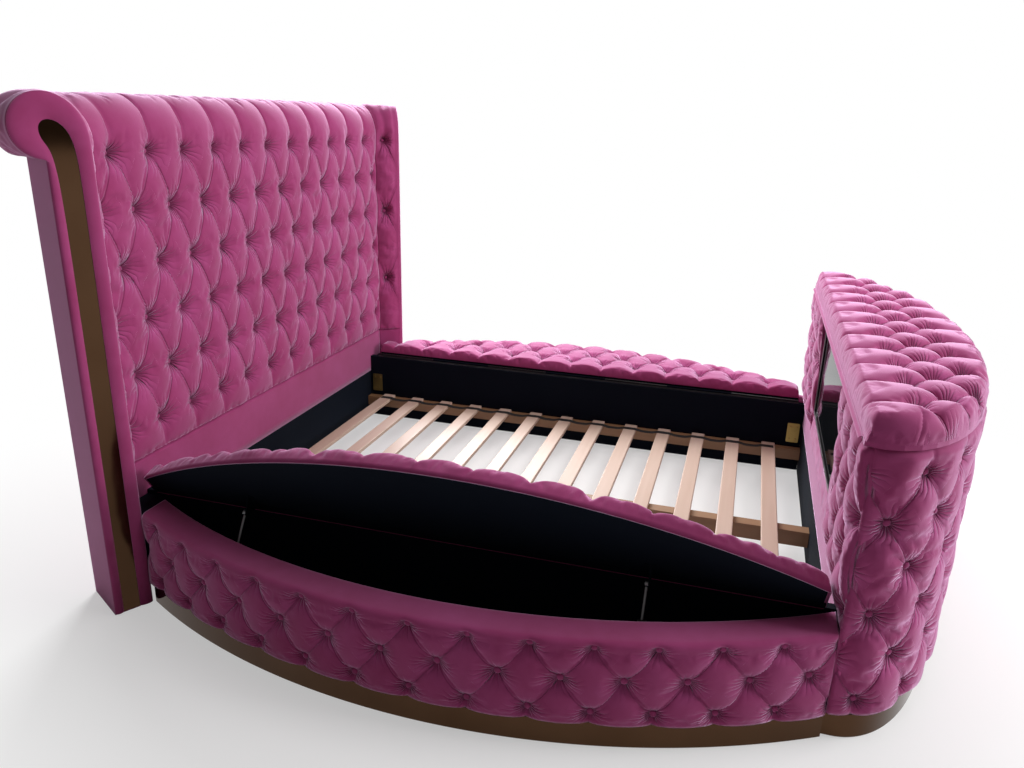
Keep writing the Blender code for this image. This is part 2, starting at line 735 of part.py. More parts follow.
def make_side_panel(side, word, start, parent):
    """The bowed wall with its rim board, the blocks that close its ends, and the strut lugs."""
    mid = side_board_inner + BOARD / 2
    rim_inner = side_arc_radius - RIM_WIDTH + RIM_BOARD_STEP
    top = RIM_HEIGHT - RIM_PAD - TOUCH_GAP
    step = RIM_BOARD_STEP
    rail_side = side * (rail_outer + TOUCH_GAP)
    wall = bow_strip(side, side_board_outer, side_board_inner, start, side_end)
    panel = plate("side_panel_" + word, wall, PLINTH_HEIGHT + TOUCH_GAP, top, "lining", parent)
    rim_outline = bow_strip(side, mid, rim_inner, start + step, side_end - step)
    rim = plate("rim_board_" + word, rim_outline, top - BOARD, top - step)

    block_low, block_high = box_floor_top + TOUCH_GAP, top - step / 2
    foot_outline = [
        (rail_side, start + step),
        (side * bow_x(mid, start + step), start + step),
        (side * bow_x(mid, FOOT_BLOCK_LENGTH), FOOT_BLOCK_LENGTH),
        (rail_side, FOOT_BLOCK_LENGTH),
    ]
    block_start = well_length - HEAD_BLOCK_LENGTH
    neck = side_end - BOARD
    head_outline = [
        (rail_side, block_start),
        (side * (bow_x(side_board_inner, neck) - BOARD), block_start),
        (side * bow_x(mid, neck), neck),
        (side * bow_x(mid, side_end - step), side_end - step),
        (side * (wing_line_x(block_start + OVERRUN) - OVERRUN), block_start + OVERRUN),
        (side * (wing_line_x(well_length) - OVERRUN), well_length - TOUCH_GAP),
        (rail_side, well_length - TOUCH_GAP),
    ]
    foot_block = plate("foot_block_" + word, foot_outline, block_low, block_high)
    head_block = plate("head_block_" + word, head_outline, block_low, block_high)
    join(panel, rim, foot_block, head_block)

    foot_x, foot_z = hinge_x + STRUT_FOOT_REACH, hinge_z - strut_foot_drop
    eye, half = STRUT_EYE_RADIUS, BRACKET_THICKNESS / 2
    for tag, place in strut_places(word):
        wall_x = bow_x(mid, place)
        lug_outline = [
            (side * (foot_x - eye), foot_z - eye),
            (side * wall_x, foot_z - 2 * eye),
            (side * wall_x, foot_z + 2 * eye),
            (side * (foot_x - eye), foot_z + eye),
        ]
        lug = upright_plate("box_lug_" + tag, lug_outline, place - half, place + half)
        pin = (side * foot_x, place, foot_z)
        stud = bar("box_stud_" + tag, pin, (pin[0], place + STUD_LENGTH, foot_z), STUD_RADIUS)
        join(panel, lug, stud)


def strut_places(word):
    return [(f"{end}_{word}", place) for end, place in zip(("foot", "head"), strut_spots)]


def side_rows():
    """Rows of a side pad from the plinth up and in over the rim: kind, the inset and height of
    its face, and the inset and height of its back."""
    top = RIM_HEIGHT - SIDE_TOP_ROW_DROP
    under = RIM_HEIGHT - RIM_PAD
    board = SIDE_PAD - TOUCH_GAP
    low = PLINTH_HEIGHT + TOUCH_GAP
    rows = [("pleat", SIDE_PUFF / 3, low, board, low)]
    for index in (2, 1, 0):
        height = top - index * side_row_pitch
        rows.append(("tuft", 0.0, height, board, height))
    rows.append(("pleat", SIDE_PUFF / 4, RIM_HEIGHT - RIM_ROUND / 2, board, under - RIM_ROUND / 4))
    rows.append(("plain", RIM_ROUND, RIM_HEIGHT - RIM_ROUND / 8, board, under))
    rows.append(("plain", 2 * RIM_ROUND, RIM_HEIGHT, board + RIM_ROUND, under))
    rows.append(("plain", RIM_WIDTH, RIM_HEIGHT, RIM_WIDTH, under))
    return rows


def make_side_pad(name, side, start, parent):
    top = RIM_HEIGHT - SIDE_TOP_ROW_DROP
    rows = side_rows()
    columns = side_arcs(start, side_end)

    def spot(arc, inset, height):
        y = arc_y(arc)
        return Vector((side * bow_x(side_arc_radius - inset, y), y, height))

    def front(arc, row):
        kind, inset, height = row[:3]
        if kind == "tuft":
            swell, near = diamond(arc, height - top, SIDE_BUTTON_PITCH, side_row_pitch)
            inset = SIDE_PUFF * (1.0 - swell) + SIDE_SINK * near
        if kind == "pleat":
            inset += SIDE_PUFF * (1.0 - pleat(arc, SIDE_BUTTON_PITCH)) / 2
        return spot(arc, inset, height)

    def back(arc, row):
        return spot(arc, row[3], row[4])

    phase = (columns.index(0.0) + 3) % 2
    backed_pad(name, columns, rows, front, back, "velvet", parent, phase)


# Lids of the side boxes, in reach and rise from the hinge line

def lid_arc():
    """Centre reach and radius of the lid's bowed edge, through its middle and its tips."""
    middle = overall_width / 2 - LID_EDGE_GAP - hinge_x
    half = well_length - LID_HEAD_GAP - side_belly
    bow = middle - LID_TIP_REACH
    radius = (half**2 + bow**2) / (2 * bow)
    return middle - radius, radius


def lid_reach(y, inset=0.0):
    centre, radius = lid_arc()
    return centre + math.sqrt((radius - inset) ** 2 - (y - side_belly) ** 2)


def make_lid(side, word, axis):
    start, end = LID_FOOT_GAP, well_length - LID_HEAD_GAP
    low = LEAF_THICKNESS - KNUCKLE_RADIUS + TOUCH_GAP
    high = low + LID_BOARD
    inner = KNUCKLE_RADIUS + RIM_BOARD_STEP
    steps = 24
    ys = [start + (end - start) * index / steps for index in range(steps + 1)]
    outline = [(side * inner, start)] + [(side * lid_reach(y), y) for y in ys] + [(side * inner, end)]
    plate("lid_board_" + word, outline, low, high, "lining", axis)

    base = high + TOUCH_GAP
    crest = base + LID_PAD
    rounding = LID_EDGE_ROUND
    columns = lattice(LID_BUTTON_PITCH / 2, LID_BUTTON_START, (start + rounding, end - rounding))
    rows = [rounding] + [LID_FIRST_ROW + index * LID_ROW_PITCH for index in range(4)]
    plain_ends = (columns[0], columns[-1])

    def top(y, reach):
        limit = lid_reach(y, rounding)
        edge = reach > limit - LID_ROW_PITCH / 4
        held = limit if edge else reach
        swell, near = diamond(y - LID_BUTTON_START, reach - LID_FIRST_ROW, LID_BUTTON_PITCH, LID_ROW_PITCH)
        height = crest - LID_PUFF * (1.0 - swell) - LID_SINK * near
        if edge or reach == rounding or y in plain_ends:
            height = crest - LID_EDGE_DROP_SHARE * LID_PUFF
        return Vector((side * held, y, height))

    skirt = ((rounding, crest - LID_PAD * LID_SKIRT_SHARE), (rounding * SKIRT_FOOT_SHARE, base))
    phase = (columns.index(LID_BUTTON_START) + 1) % 2
    domed_pad("lid_pad_" + word, columns, rows, top, skirt, "velvet", axis, phase)
    make_lid_hinge(side, word, axis, start, end)


def make_lid_hinge(side, word, axis, start, end):
    """A long hinge whose knuckles take turns on the rail's leaf and on the lid's."""
    low = -KNUCKLE_RADIUS
    high = low + LEAF_THICKNESS
    fixed_sides = sorted((-side * FIXED_LEAF_WIDTH, 0.0))
    moving_sides = sorted((side * MOVING_LEAF_WIDTH, 0.0))
    fixed_low, fixed_high = (fixed_sides[0], start, low), (fixed_sides[1], end, high)
    moving_low, moving_high = (moving_sides[0], start, low), (moving_sides[1], end, high)
    fixed = box("hinge_fixed_leaf_" + word, fixed_low, fixed_high, "steel", hinge_line[word])
    moving = box("hinge_moving_leaf_" + word, moving_low, moving_high, "steel", axis)
    run = (end - start) / KNUCKLES
    for index in range(KNUCKLES):
        span = ((0.0, start + index * run, 0.0), (0.0, start + (index + 1) * run, 0.0))
        own, other = (fixed, moving) if index % 2 == 0 else (moving, fixed)
        make_knuckle(f"{word}_{index}", span, own, other)
    bore_ends = ((0.0, start - OVERRUN, 0.0), (0.0, end + OVERRUN, 0.0))
    cut(moving, bar("hinge_bore_" + word, *bore_ends, HINGE_BORE_RADIUS))
    pin_ends = ((0.0, start + OVERRUN, 0.0), (0.0, end - OVERRUN, 0.0))
    join(fixed, bar("hinge_pin_" + word, *pin_ends, HINGE_PIN_RADIUS))
    for tag, place in strut_places(word):
        make_lid_lug(side, tag, place, moving, low, high)
        make_strut(side, word, tag, place)


def make_knuckle(tag, span, own, other, own_shift=Vector(), other_shift=Vector()):
    """A knuckle on one leaf, and the room for it cut out of the other."""
    start, end = Vector(span[0]), Vector(span[1])
    ease = (end - start).normalized() * KNUCKLE_GAP / 2
    room_ends = (start - ease + other_shift, end + ease + other_shift)
    cut(other, bar("knuckle_room_" + tag, *room_ends, KNUCKLE_RADIUS + KNUCKLE_GAP, 16))
    knuckle_ends = (start + ease + own_shift, end - ease + own_shift)
    join(own, bar("knuckle_" + tag, *knuckle_ends, KNUCKLE_RADIUS))


def make_lid_lug(side, tag, place, leaf, low, high):
    """The bracket under the lid that carries the strut's upper end."""
    arm = STRUT_ARM * math.cos(STRUT_ARM_ANGLE)
    drop = STRUT_ARM * math.sin(STRUT_ARM_ANGLE)
    eye, half = STRUT_EYE_RADIUS, BRACKET_THICKNESS / 2
    inside = low + LEAF_THICKNESS / 2
    outline = [
        (side * 2 * KNUCKLE_RADIUS, inside),
        (side * (arm - eye), -drop - eye / 2),
        (side * arm, -drop - eye),
        (side * (arm + eye), -drop),
        (side * BRACKET_LENGTH, inside),
    ]
    web = upright_plate("lid_lug_" + tag, outline, place - half, place + half)
    sides = sorted((side * (2 * KNUCKLE_RADIUS - RIM_BOARD_STEP), side * (BRACKET_LENGTH + RIM_BOARD_STEP)))
    foot_half = BRACKET_FOOT_WIDTH / 2
    foot_low, foot_high = (sides[0], place - foot_half, low), (sides[1], place + foot_half, high)
    foot = box("lid_lug_foot_" + tag, foot_low, foot_high)
    pin = (side * arm, place, -drop)
    stud = bar("lid_stud_" + tag, pin, (pin[0], place + STUD_LENGTH, -drop), STUD_RADIUS)
    join(leaf, web, foot, stud)


def strut_ends(side, open_angle):
    """The strut's two pins in reach and rise from the hinge, with the lid at an angle."""
    angle = open_angle - STRUT_ARM_ANGLE
    upper = Vector((side * STRUT_ARM * math.cos(angle), 0.0, STRUT_ARM * math.sin(angle)))
    lower = Vector((side * STRUT_FOOT_REACH, 0.0, -strut_foot_drop))
    return upper, lower


def make_strut(side, word, tag, place):
    """A tube on the box and a rod on the lid. The rod slides in the tube's open mouth."""
    upper, lower = strut_ends(side, lid_angle[word])
    start = BRACKET_THICKNESS / 2 + TOUCH_GAP
    middle = Vector((0.0, place + start + STRUT_EYE_THICKNESS / 2, 0.0))
    hinge = Vector((side * hinge_x, 0.0, hinge_z))
    run = (upper - lower).normalized()
    half = Vector((0.0, STRUT_EYE_THICKNESS / 2, 0.0))
    inner = run * STRUT_EYE_RADIUS * STRUT_SHAFT_START_SHARE
    foot_pin = empty("strut_foot_pin_" + tag, hinge + lower + middle, foot_end)
    head_pin = empty("strut_head_pin_" + tag, hinge + upper + middle, foot_end)

    tube = bar("strut_cylinder_" + tag, -half, half, STRUT_EYE_RADIUS, 16, "black_steel", foot_pin)
    neck = bar("strut_neck_" + tag, inner, run * (STRUT_NECK_LENGTH + RIM_BOARD_STEP), STRUT_ROD_RADIUS)
    body_ends = (run * STRUT_NECK_LENGTH, run * STRUT_TUBE_LENGTH)
    body = bar("strut_tube_" + tag, *body_ends, STRUT_TUBE_RADIUS, 16)
    join(tube, neck, body)
    cut(tube, bar("strut_foot_eye_" + tag, -half * 2, half * 2, STRUT_EYE_BORE, 16))
    bore_ends = (run * STRUT_TUBE_BLIND, run * (STRUT_TUBE_LENGTH + OVERRUN))
    cut(tube, bar("strut_bore_" + tag, *bore_ends, STRUT_BORE_RADIUS, 16))

    rod = bar("strut_rod_" + tag, -half, half, STRUT_EYE_RADIUS, 16, "steel", head_pin)
    join(rod, bar("strut_shaft_" + tag, -inner, -run * STRUT_ROD_LENGTH, STRUT_ROD_RADIUS))
    cut(rod, bar("strut_head_eye_" + tag, -half * 2, half * 2, STRUT_EYE_BORE, 16))


# Slatted base and its boards

def make_base(parent):
    half = well_half - TOUCH_GAP
    head = headboard_corner_half - SIDE_END_GAP
    low = (-head, well_length + TOUCH_GAP, 0.0)
    high = (head, well_length + HEADBOARD_PAD, HEAD_CROSSBOARD_TOP)
    box("head_crossboard", low, high, "lining", parent)
    low, high = (-half, face_back + TOUCH_GAP, 0.0), (half, 0.0, FOOT_CROSSBOARD_TOP)
    box("foot_crossboard", low, high, "lining", parent)

    top = SLAT_TOP - SLAT_THICKNESS - TOUCH_GAP
    for side, word in ((-1.0, "near"), (1.0, "far")):
        ends = sorted((side * half, side * (half - LEDGER_WIDTH)))
        low, high = (ends[0], TOUCH_GAP, top - LEDGER_HEIGHT), (ends[1], well_length, top)
        box("ledger_" + word, low, high, "birch", parent)
    centre = CENTRE_RAIL_WIDTH / 2
    low, high = (-centre, TOUCH_GAP, top - CENTRE_RAIL_HEIGHT), (centre, well_length, top)
    box("centre_rail", low, high, "birch", parent)

    low = (-slat_length / 2, FIRST_SLAT - SLAT_WIDTH / 2, SLAT_TOP - SLAT_THICKNESS)
    high = (slat_length / 2, FIRST_SLAT + SLAT_WIDTH / 2, SLAT_TOP)
    first = box("slat_01", low, high, "birch", parent)
    for index in range(1, SLAT_COUNT):
        slat = new_object(f"slat_{index + 1:02d}", first.data, None, parent)
        slat.location = first.location + Vector((0.0, index * slat_pitch, 0.0))


# Footboard: y is measured from its face, towards the mattress

def foot_spot(angle, inset, height):
    x = (foot_half_width - inset) * math.cos(angle)
    y = face_back - (foot_bow - inset) * math.sin(angle)
    return Vector((x, y, height))


def foot_angles():
    """Evenly spaced columns along the bowed front: distance from its middle, and angle."""
    steps = 2000
    turn = math.pi / 2 / steps
    lengths = [0.0]
    for index in range(steps):
        angle = math.pi / 2 - (index + 0.5) * turn
        slope = math.hypot(foot_half_width * math.sin(angle), foot_bow * math.cos(angle))
        lengths.append(lengths[-1] + turn * slope)
    places = lattice(FOOT_BUTTON_PITCH / 4, 0.0, (-lengths[-1], lengths[-1]))
    columns = []
    for place in places:
        nearest = min(range(steps + 1), key=lambda item: abs(lengths[item] - abs(place)))
        columns.append((place, math.pi / 2 - math.copysign(nearest * turn, place)))
    return columns


def half_round(inset, back=0.0):
    """The bowed outline of the footboard at an inset, cut off straight at back behind the face."""
    spots = [foot_spot(angle, inset, 0.0) for _, angle in reversed(foot_columns)]
    flat = face_back - back
    points = []
    for first, second in zip(spots, spots[1:]):
        if first.y <= flat:
            points.append((first.x, first.y))
        if (first.y > flat) != (second.y > flat):
            share = (flat - first.y) / (second.y - first.y)
            points.append((first.x + share * (second.x - first.x), flat))
    if spots[-1].y <= flat:
        points.append((spots[-1].x, spots[-1].y))
    return points


def bow_wall(inset, thickness, back):
    return half_round(inset, back) + half_round(inset + thickness, back)[::-1]


def make_foot_body(parent):
    low = PLINTH_HEIGHT + TOUCH_GAP
    behind = BOARD + TOUCH_GAP
    wall = plate("foot_panel", bow_wall(FOOT_PAD, BOARD, behind), low, foot_body_top, "lining", parent)
    smooth(wall)
    plinth_width = FOOT_PAD + 2 * BOARD - FOOT_PLINTH_INSET
    plinth = bow_wall(FOOT_PLINTH_INSET, plinth_width, 0.0)
    smooth(plate("foot_plinth", plinth, 0.0, PLINTH_HEIGHT, "mirror_gold", parent))
    floor_outline = half_round(FOOT_PAD + BOARD + TOUCH_GAP, behind)
    plate("foot_floor", floor_outline, low, box_floor_top, "lining", parent)

    half = half_round(FOOT_PAD, BOARD)[0][0] - TOUCH_GAP
    panel_back = face_back - BOARD
    front_low, front_high = (-half, panel_back, low), (half, face_back, foot_body_top)
    front = box("foot_front_panel", front_low, front_high, "lining", parent)
    window_low = (-WINDOW_HALF, panel_back - OVERRUN, WINDOW_SILL)
    window_high = (WINDOW_HALF, face_back + OVERRUN, foot_body_top - WINDOW_HEAD_BAR)
    cut(front, box("tv_window", window_low, window_high))
    ledge_low = (-TV_LEDGE_WIDTH / 2, panel_back - TV_LEDGE_DEPTH, WINDOW_SILL - TV_LEDGE_THICKNESS)
    ledge_high = (TV_LEDGE_WIDTH / 2, face_back - BOARD / 2, WINDOW_SILL - RIM_BOARD_STEP)
    leaf_low = (-FOOT_HINGE_HALF, panel_back + RIM_BOARD_STEP, foot_body_top - LEAF_THICKNESS)
    leaf_high = (FOOT_HINGE_HALF, foot_hinge_y, FOOT_BODY_HEIGHT - TOUCH_GAP)
    return join(front, box("tv_ledge", ledge_low, ledge_high), box("foot_hinge_leaf", leaf_low, leaf_high))


def make_tv(parent):
    half = WINDOW_HALF - TV_CLEARANCE
    low = WINDOW_SILL + TOUCH_GAP
    high = foot_body_top - WINDOW_HEAD_BAR - TV_CLEARANCE
    case = box("tv_housing", (-half, -TV_DEPTH, low), (half, 0.0, high), "tv_case", parent)
    inner = half - TV_BEZEL
    floor = -TV_SCREEN_SINK - TV_SCREEN_THICKNESS
    recess_low, recess_high = (-inner, floor, low + TV_BEZEL), (inner, OVERRUN, high - TV_BEZEL)
    cut(case, box("tv_recess", recess_low, recess_high))
    gap = TOUCH_GAP
    glass_low = (gap - inner, floor + gap, low + TV_BEZEL + gap)
    glass_high = (inner - gap, -TV_SCREEN_SINK, high - TV_BEZEL - gap)
    box("tv_screen", glass_low, glass_high, "tv_glass", parent)


def foot_rows():
    top_row = FOOT_BODY_HEIGHT - FOOT_TOP_ROW_DROP
    rows = [("pleat", PLINTH_HEIGHT + TOUCH_GAP)]
    rows += [("tuft", top_row - index * foot_row_pitch / 2) for index in range(2 * FOOT_ROWS - 2, -1, -1)]
    return rows + [("pleat", (top_row + FOOT_BODY_HEIGHT) / 2), ("plain", FOOT_BODY_HEIGHT - TOUCH_GAP)]


def make_foot_pads(parent):
    top_row = FOOT_BODY_HEIGHT - FOOT_TOP_ROW_DROP
    columns = foot_columns

    def front(column, row):
        kind, height = row
        along = column[0] - FOOT_BUTTON_PITCH / 2
        inset = FOOT_PUFF / 2
        if kind == "tuft":
            swell, near = diamond(along, height - top_row, FOOT_BUTTON_PITCH, foot_row_pitch)
            inset = FOOT_PUFF * (1.0 - swell) + FOOT_SINK * near
        if kind == "pleat":
            inset = FOOT_PUFF * (1.0 - pleat(along, FOOT_BUTTON_PITCH)) / 2
        return foot_spot(column[1], inset, height)

    def back(column, row):
        return foot_spot(column[1], FOOT_PAD - TOUCH_GAP, row[1])

    phase = (len(columns) // 2 + 2 + 2 * FOOT_ROWS - 1) % 2
    backed_pad("foot_outer_pad", columns, foot_rows(), front, back, "velvet", parent, phase)
    make_face_pad(parent, top_row)


def make_face_pad(parent, top_row):
    """The upholstery round the window: tufted borders and a plain panel below the screen."""
    inner, outer = WINDOW_HALF + RIM_BOARD_STEP, foot_face_pad_half
    corner = well_half - FACE_CORNER_CLEARANCE
    first_button = FACE_FIRST_BUTTON_SHARE * FACE_BUTTON_PITCH
    border = lattice(FACE_BUTTON_PITCH / 4, first_button, (inner, outer))
    nearest = min(range(len(border)), key=lambda item: abs(border[item] - corner))
    border[nearest] = corner
    columns = [-x for x in reversed(border)] + [0.0] + border
    rows = [("plain", FOOT_CROSSBOARD_TOP + FACE_EDGE_ROUND), ("plain", RIM_HEIGHT + FACE_EDGE_ROUND)]
    rows += [("tuft", top_row - index * foot_row_pitch / 2) for index in range(6, -1, -1)]
    sill = min(range(len(rows)), key=lambda item: abs(rows[item][1] - WINDOW_SILL))
    rows[sill] = ("tuft", WINDOW_SILL - RIM_BOARD_STEP)
    rows += [("pleat", (top_row + FOOT_BODY_HEIGHT) / 2), ("plain", foot_body_top - FACE_EDGE_ROUND)]
    phase = (len(border) + 1 + border.index(first_button) + 8) % 2

    def front(x, row):
        kind, height = row
        along = abs(x) - first_button
        out = FACE_LIFT
        if abs(x) > inner and kind == "tuft":
            swell, near = diamond(along, height - top_row, FACE_BUTTON_PITCH, foot_row_pitch)
            out = FACE_PUFF * swell - FACE_SINK * near
        if abs(x) > inner and kind == "pleat":
            out = FACE_PUFF * pleat(along, FACE_BUTTON_PITCH)
        if abs(x) == outer:
            out = -FACE_EDGE_ROUND
        return Vector((x, out, height))

    def back(x, row):
        return Vector((x, face_back + TOUCH_GAP, row[1]))

    middle = len(border)

    def keep(i, j):
        in_window = i in (middle - 1, middle) and j >= sill
        outside = abs(columns[i] + columns[i + 1]) / 2 > corner
        return not in_window and not (j == 0 and outside)

    backed_pad("foot_face_pad", columns, rows, front, back, "velvet", parent, phase, keep)


# Cushioned lid of the footboard, from its hinge line on the mattress side

def make_foot_lid(front_panel, axis):
    low = LEAF_THICKNESS - KNUCKLE_RADIUS
    high = low + FOOT_LID_BOARD
    edge = FOOT_LID_OVERHANG
    inner_edge = edge + LEAF_THICKNESS
    outline = [(foot_face_pad_half, inner_edge)] + half_round(0.0) + [(-foot_face_pad_half, inner_edge)]
    outline = [(x, y - foot_hinge_y) for x, y in outline]
    board = plate("foot_lid_board", outline, low, high, "lining", axis)

    base = high + TOUCH_GAP
    crest = base + FOOT_LID_CROWN
    rounding = FOOT_LID_EDGE_ROUND
    half = foot_half_width - rounding
    count = int(half / (FOOT_LID_PITCH / 2)) - 1
    tips = [half * share for share in FOOT_LID_TIP_SHARES]
    inner = [index * FOOT_LID_PITCH / 2 for index in range(-count, count + 1)]
    columns = [-x for x in reversed(tips)] + inner + tips
    rows = [edge - rounding] + [-FOOT_LID_FIRST_ROW - index * FOOT_LID_ROW_PITCH for index in range(3)]
    rows.append(-FOOT_DEPTH)

    def top(x, y):
        bow = math.sqrt(max(0.0, 1.0 - (x / half) ** 2))
        limit = face_back - (foot_bow - rounding) * bow
        at_front = y < limit + FOOT_LID_ROW_PITCH / 4
        held = limit if at_front else y
        swell, near = diamond(x, y + FOOT_LID_FIRST_ROW, FOOT_LID_PITCH, FOOT_LID_ROW_PITCH)
        height = crest - FOOT_LID_PUFF * (1.0 - swell) - FOOT_LID_SINK * near
        if at_front or abs(x) == half:
            height = crest - 2 * FOOT_LID_PUFF
        if y == rows[0]:
            height = crest - FOOT_LID_PUFF * (FOOT_LID_EDGE_DROP_SHARE - pleat(x, FOOT_LID_PITCH) / 2)
        return Vector((x, held - foot_hinge_y, height))

    skirt = ((rounding, crest - FOOT_LID_CROWN * FOOT_LID_SKIRT_SHARE), (rounding * SKIRT_FOOT_SHARE, base))
    phase = (len(tips) + count + 1) % 2
    domed_pad("foot_lid_pad", columns, rows, top, skirt, "velvet", axis, phase)

    run = 2 * FOOT_HINGE_HALF / FOOT_KNUCKLES
    on_body = Vector((0.0, foot_hinge_y, foot_hinge_z))
    for index in range(FOOT_KNUCKLES):
        start = -FOOT_HINGE_HALF + index * run
        span = ((start, 0.0, 0.0), (start + run, 0.0, 0.0))
        tag = f"foot_{index}"
        if index % 2 == 0:
            make_knuckle(tag, span, front_panel, board, own_shift=on_body)
        else:
            make_knuckle(tag, span, board, front_panel, other_shift=on_body)
    bore_half, pin_half = FOOT_HINGE_HALF + OVERRUN, FOOT_HINGE_HALF - OVERRUN
    cut(board, bar("foot_hinge_bore", (-bore_half, 0.0, 0.0), (bore_half, 0.0, 0.0), HINGE_BORE_RADIUS))
    pin_ends = (on_body - Vector((pin_half, 0.0, 0.0)), on_body + Vector((pin_half, 0.0, 0.0)))
    join(front_panel, bar("foot_hinge_pin", *pin_ends, HINGE_PIN_RADIUS))


clear_scene()
parts = new_collection("tufted_storage_bed")
tools = new_collection("cutters")
head_end = empty("head_end", (0.0, head_y, 0.0))
foot_end = empty("foot_end", (0.0, foot_y, 0.0))
lid_angle = {"near": LID_OPEN_ANGLE, "far": 0.0}
hinge_line = {}
foot_columns = foot_angles()

make_headboard(head_end)
for side, word in ((-1.0, "near"), (1.0, "far")):
    make_side_box(side, word, foot_end)
    hinge_line[word] = empty("hinge_line_" + word, (side * hinge_x, 0.0, hinge_z), foot_end)
    turn = -side * lid_angle[word]
    lid_axis = empty("lid_axis_" + word, (side * hinge_x, 0.0, hinge_z), foot_end, turn)
    make_lid(side, word, lid_axis)
make_base(foot_end)
foot_front = make_foot_body(foot_end)
make_tv(foot_end)
make_foot_pads(foot_end)
foot_lid_axis = empty("foot_lid_axis", (0.0, foot_hinge_y, foot_hinge_z), foot_end)
make_foot_lid(foot_front, foot_lid_axis)
bpy.context.view_layer.update()
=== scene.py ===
# %% [markdown]
# # A tufted bed with a television in its footboard
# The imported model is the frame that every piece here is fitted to. Its boards, hinges and
# struts stay, with better finishes. Each upholstered part is made again as padded velvet.
# Sizes are in metres. +Y runs from the footboard to the headboard and +Z is up.

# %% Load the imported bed
import json
import math
from contextlib import contextmanager

import bmesh
import bpy
import numpy as np
from mathutils import Matrix, Vector


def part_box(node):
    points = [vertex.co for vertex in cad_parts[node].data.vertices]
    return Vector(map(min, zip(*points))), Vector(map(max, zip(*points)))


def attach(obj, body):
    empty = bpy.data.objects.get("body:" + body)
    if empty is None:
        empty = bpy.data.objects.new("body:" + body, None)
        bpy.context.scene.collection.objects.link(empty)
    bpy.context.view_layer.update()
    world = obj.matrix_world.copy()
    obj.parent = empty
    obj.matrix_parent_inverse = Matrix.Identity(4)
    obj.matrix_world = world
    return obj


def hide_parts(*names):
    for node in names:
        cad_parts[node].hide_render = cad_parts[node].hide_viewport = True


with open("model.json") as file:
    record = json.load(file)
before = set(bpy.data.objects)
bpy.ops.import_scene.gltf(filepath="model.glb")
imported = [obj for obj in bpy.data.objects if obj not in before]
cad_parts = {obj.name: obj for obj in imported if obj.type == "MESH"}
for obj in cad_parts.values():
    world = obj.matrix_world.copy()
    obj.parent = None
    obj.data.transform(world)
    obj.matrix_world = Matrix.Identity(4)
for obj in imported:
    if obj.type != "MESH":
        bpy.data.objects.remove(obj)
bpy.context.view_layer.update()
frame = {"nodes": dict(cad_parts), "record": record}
foot_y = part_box("foot_crossboard")[1].y
head_y = foot_y + 2.02
print("footboard face at y", round(foot_y, 4), "and headboard face at y", round(head_y, 4))

# %% [markdown]
# The camera stands where the photographer stood, at the open side and a little above the
# bed. Its place, turn and lens were solved from the straight edges of the slatted well. The
# whole matrix is written out, because the picture is also tilted by a degree and a half.

# %% Camera
def aim_camera(place, yaw, pitch, roll, lens):
    data = bpy.data.cameras.new("photo_camera")
    data.lens = lens
    data.sensor_width = 36.0
    forward = Vector((math.cos(pitch) * math.cos(yaw), math.cos(pitch) * math.sin(yaw), -math.sin(pitch)))
    right = forward.cross(Vector((0.0, 0.0, 1.0))).normalized()
    up = right.cross(forward)
    across = right * math.cos(roll) + up * math.sin(roll)
    above = up * math.cos(roll) - right * math.sin(roll)
    camera = bpy.data.objects.new("photo_camera", data)
    bpy.context.scene.collection.objects.link(camera)
    turn = Matrix((across, above, -forward)).transposed().to_4x4()
    camera.matrix_world = Matrix.Translation(place) @ turn
    bpy.context.scene.camera = camera


aim_camera(
    Vector((-2.658, -0.610, 1.4315)), math.radians(16.05), math.radians(18.47), math.radians(1.49), 28.29)
bpy.context.scene.view_settings.view_transform = "Standard"
print("camera 1.43 m above the floor, on the side of the open box")

# %% [markdown]
# Materials come next. Each is a small tree of nodes. These helpers add a node, set it and
# join it to the nodes before it, so that each finish below reads as a short recipe.

# %% Node helpers
def start_material(name):
    made = bpy.data.materials.new(name)
    made.use_nodes = True
    return made, made.node_tree, made.node_tree.nodes["Principled BSDF"]


def feed(tree, node, inputs):
    """Fill a node's inputs. Each value is a plain setting or another node's output socket."""
    for label, value in inputs.items():
        if isinstance(value, bpy.types.NodeSocket):
            tree.links.new(value, node.inputs[label])
        else:
            node.inputs[label].default_value = value
    return node


def add_node(tree, kind, inputs=None, **settings):
    node = tree.nodes.new(kind)
    for key, value in settings.items():
        setattr(node, key, value)
    return feed(tree, node, inputs or {})


def calculate(tree, operation, first, second=None, clamp=False):
    values = {0: first} if second is None else {0: first, 1: second}
    return add_node(tree, "ShaderNodeMath", values, operation=operation, use_clamp=clamp).outputs[0]


def times(tree, first, second, clamp=False):
    return calculate(tree, "MULTIPLY", first, second, clamp)


def plus(tree, first, second, clamp=False):
    return calculate(tree, "ADD", first, second, clamp)


def minus(tree, first, second, clamp=False):
    return calculate(tree, "SUBTRACT", first, second, clamp)


def blend_colors(tree, factor, first, second):
    """Each end is another node's color or a plain one of three parts. 6 and 7 are its color sockets."""
    first, second = [(*end, 1.0) if isinstance(end, tuple) else end for end in (first, second)]
    return add_node(tree, "ShaderNodeMix", {0: factor, 6: first, 7: second}, data_type="RGBA").outputs[2]


def object_noise(tree, scale, detail=3.0, stretch=(1.0, 1.0, 1.0)):
    place = add_node(tree, "ShaderNodeTexCoord").outputs["Object"]
    place = add_node(tree, "ShaderNodeMapping", {"Vector": place, "Scale": stretch}).outputs[0]
    inputs = {"Vector": place, "Scale": scale, "Detail": detail}
    return add_node(tree, "ShaderNodeTexNoise", inputs).outputs[0]


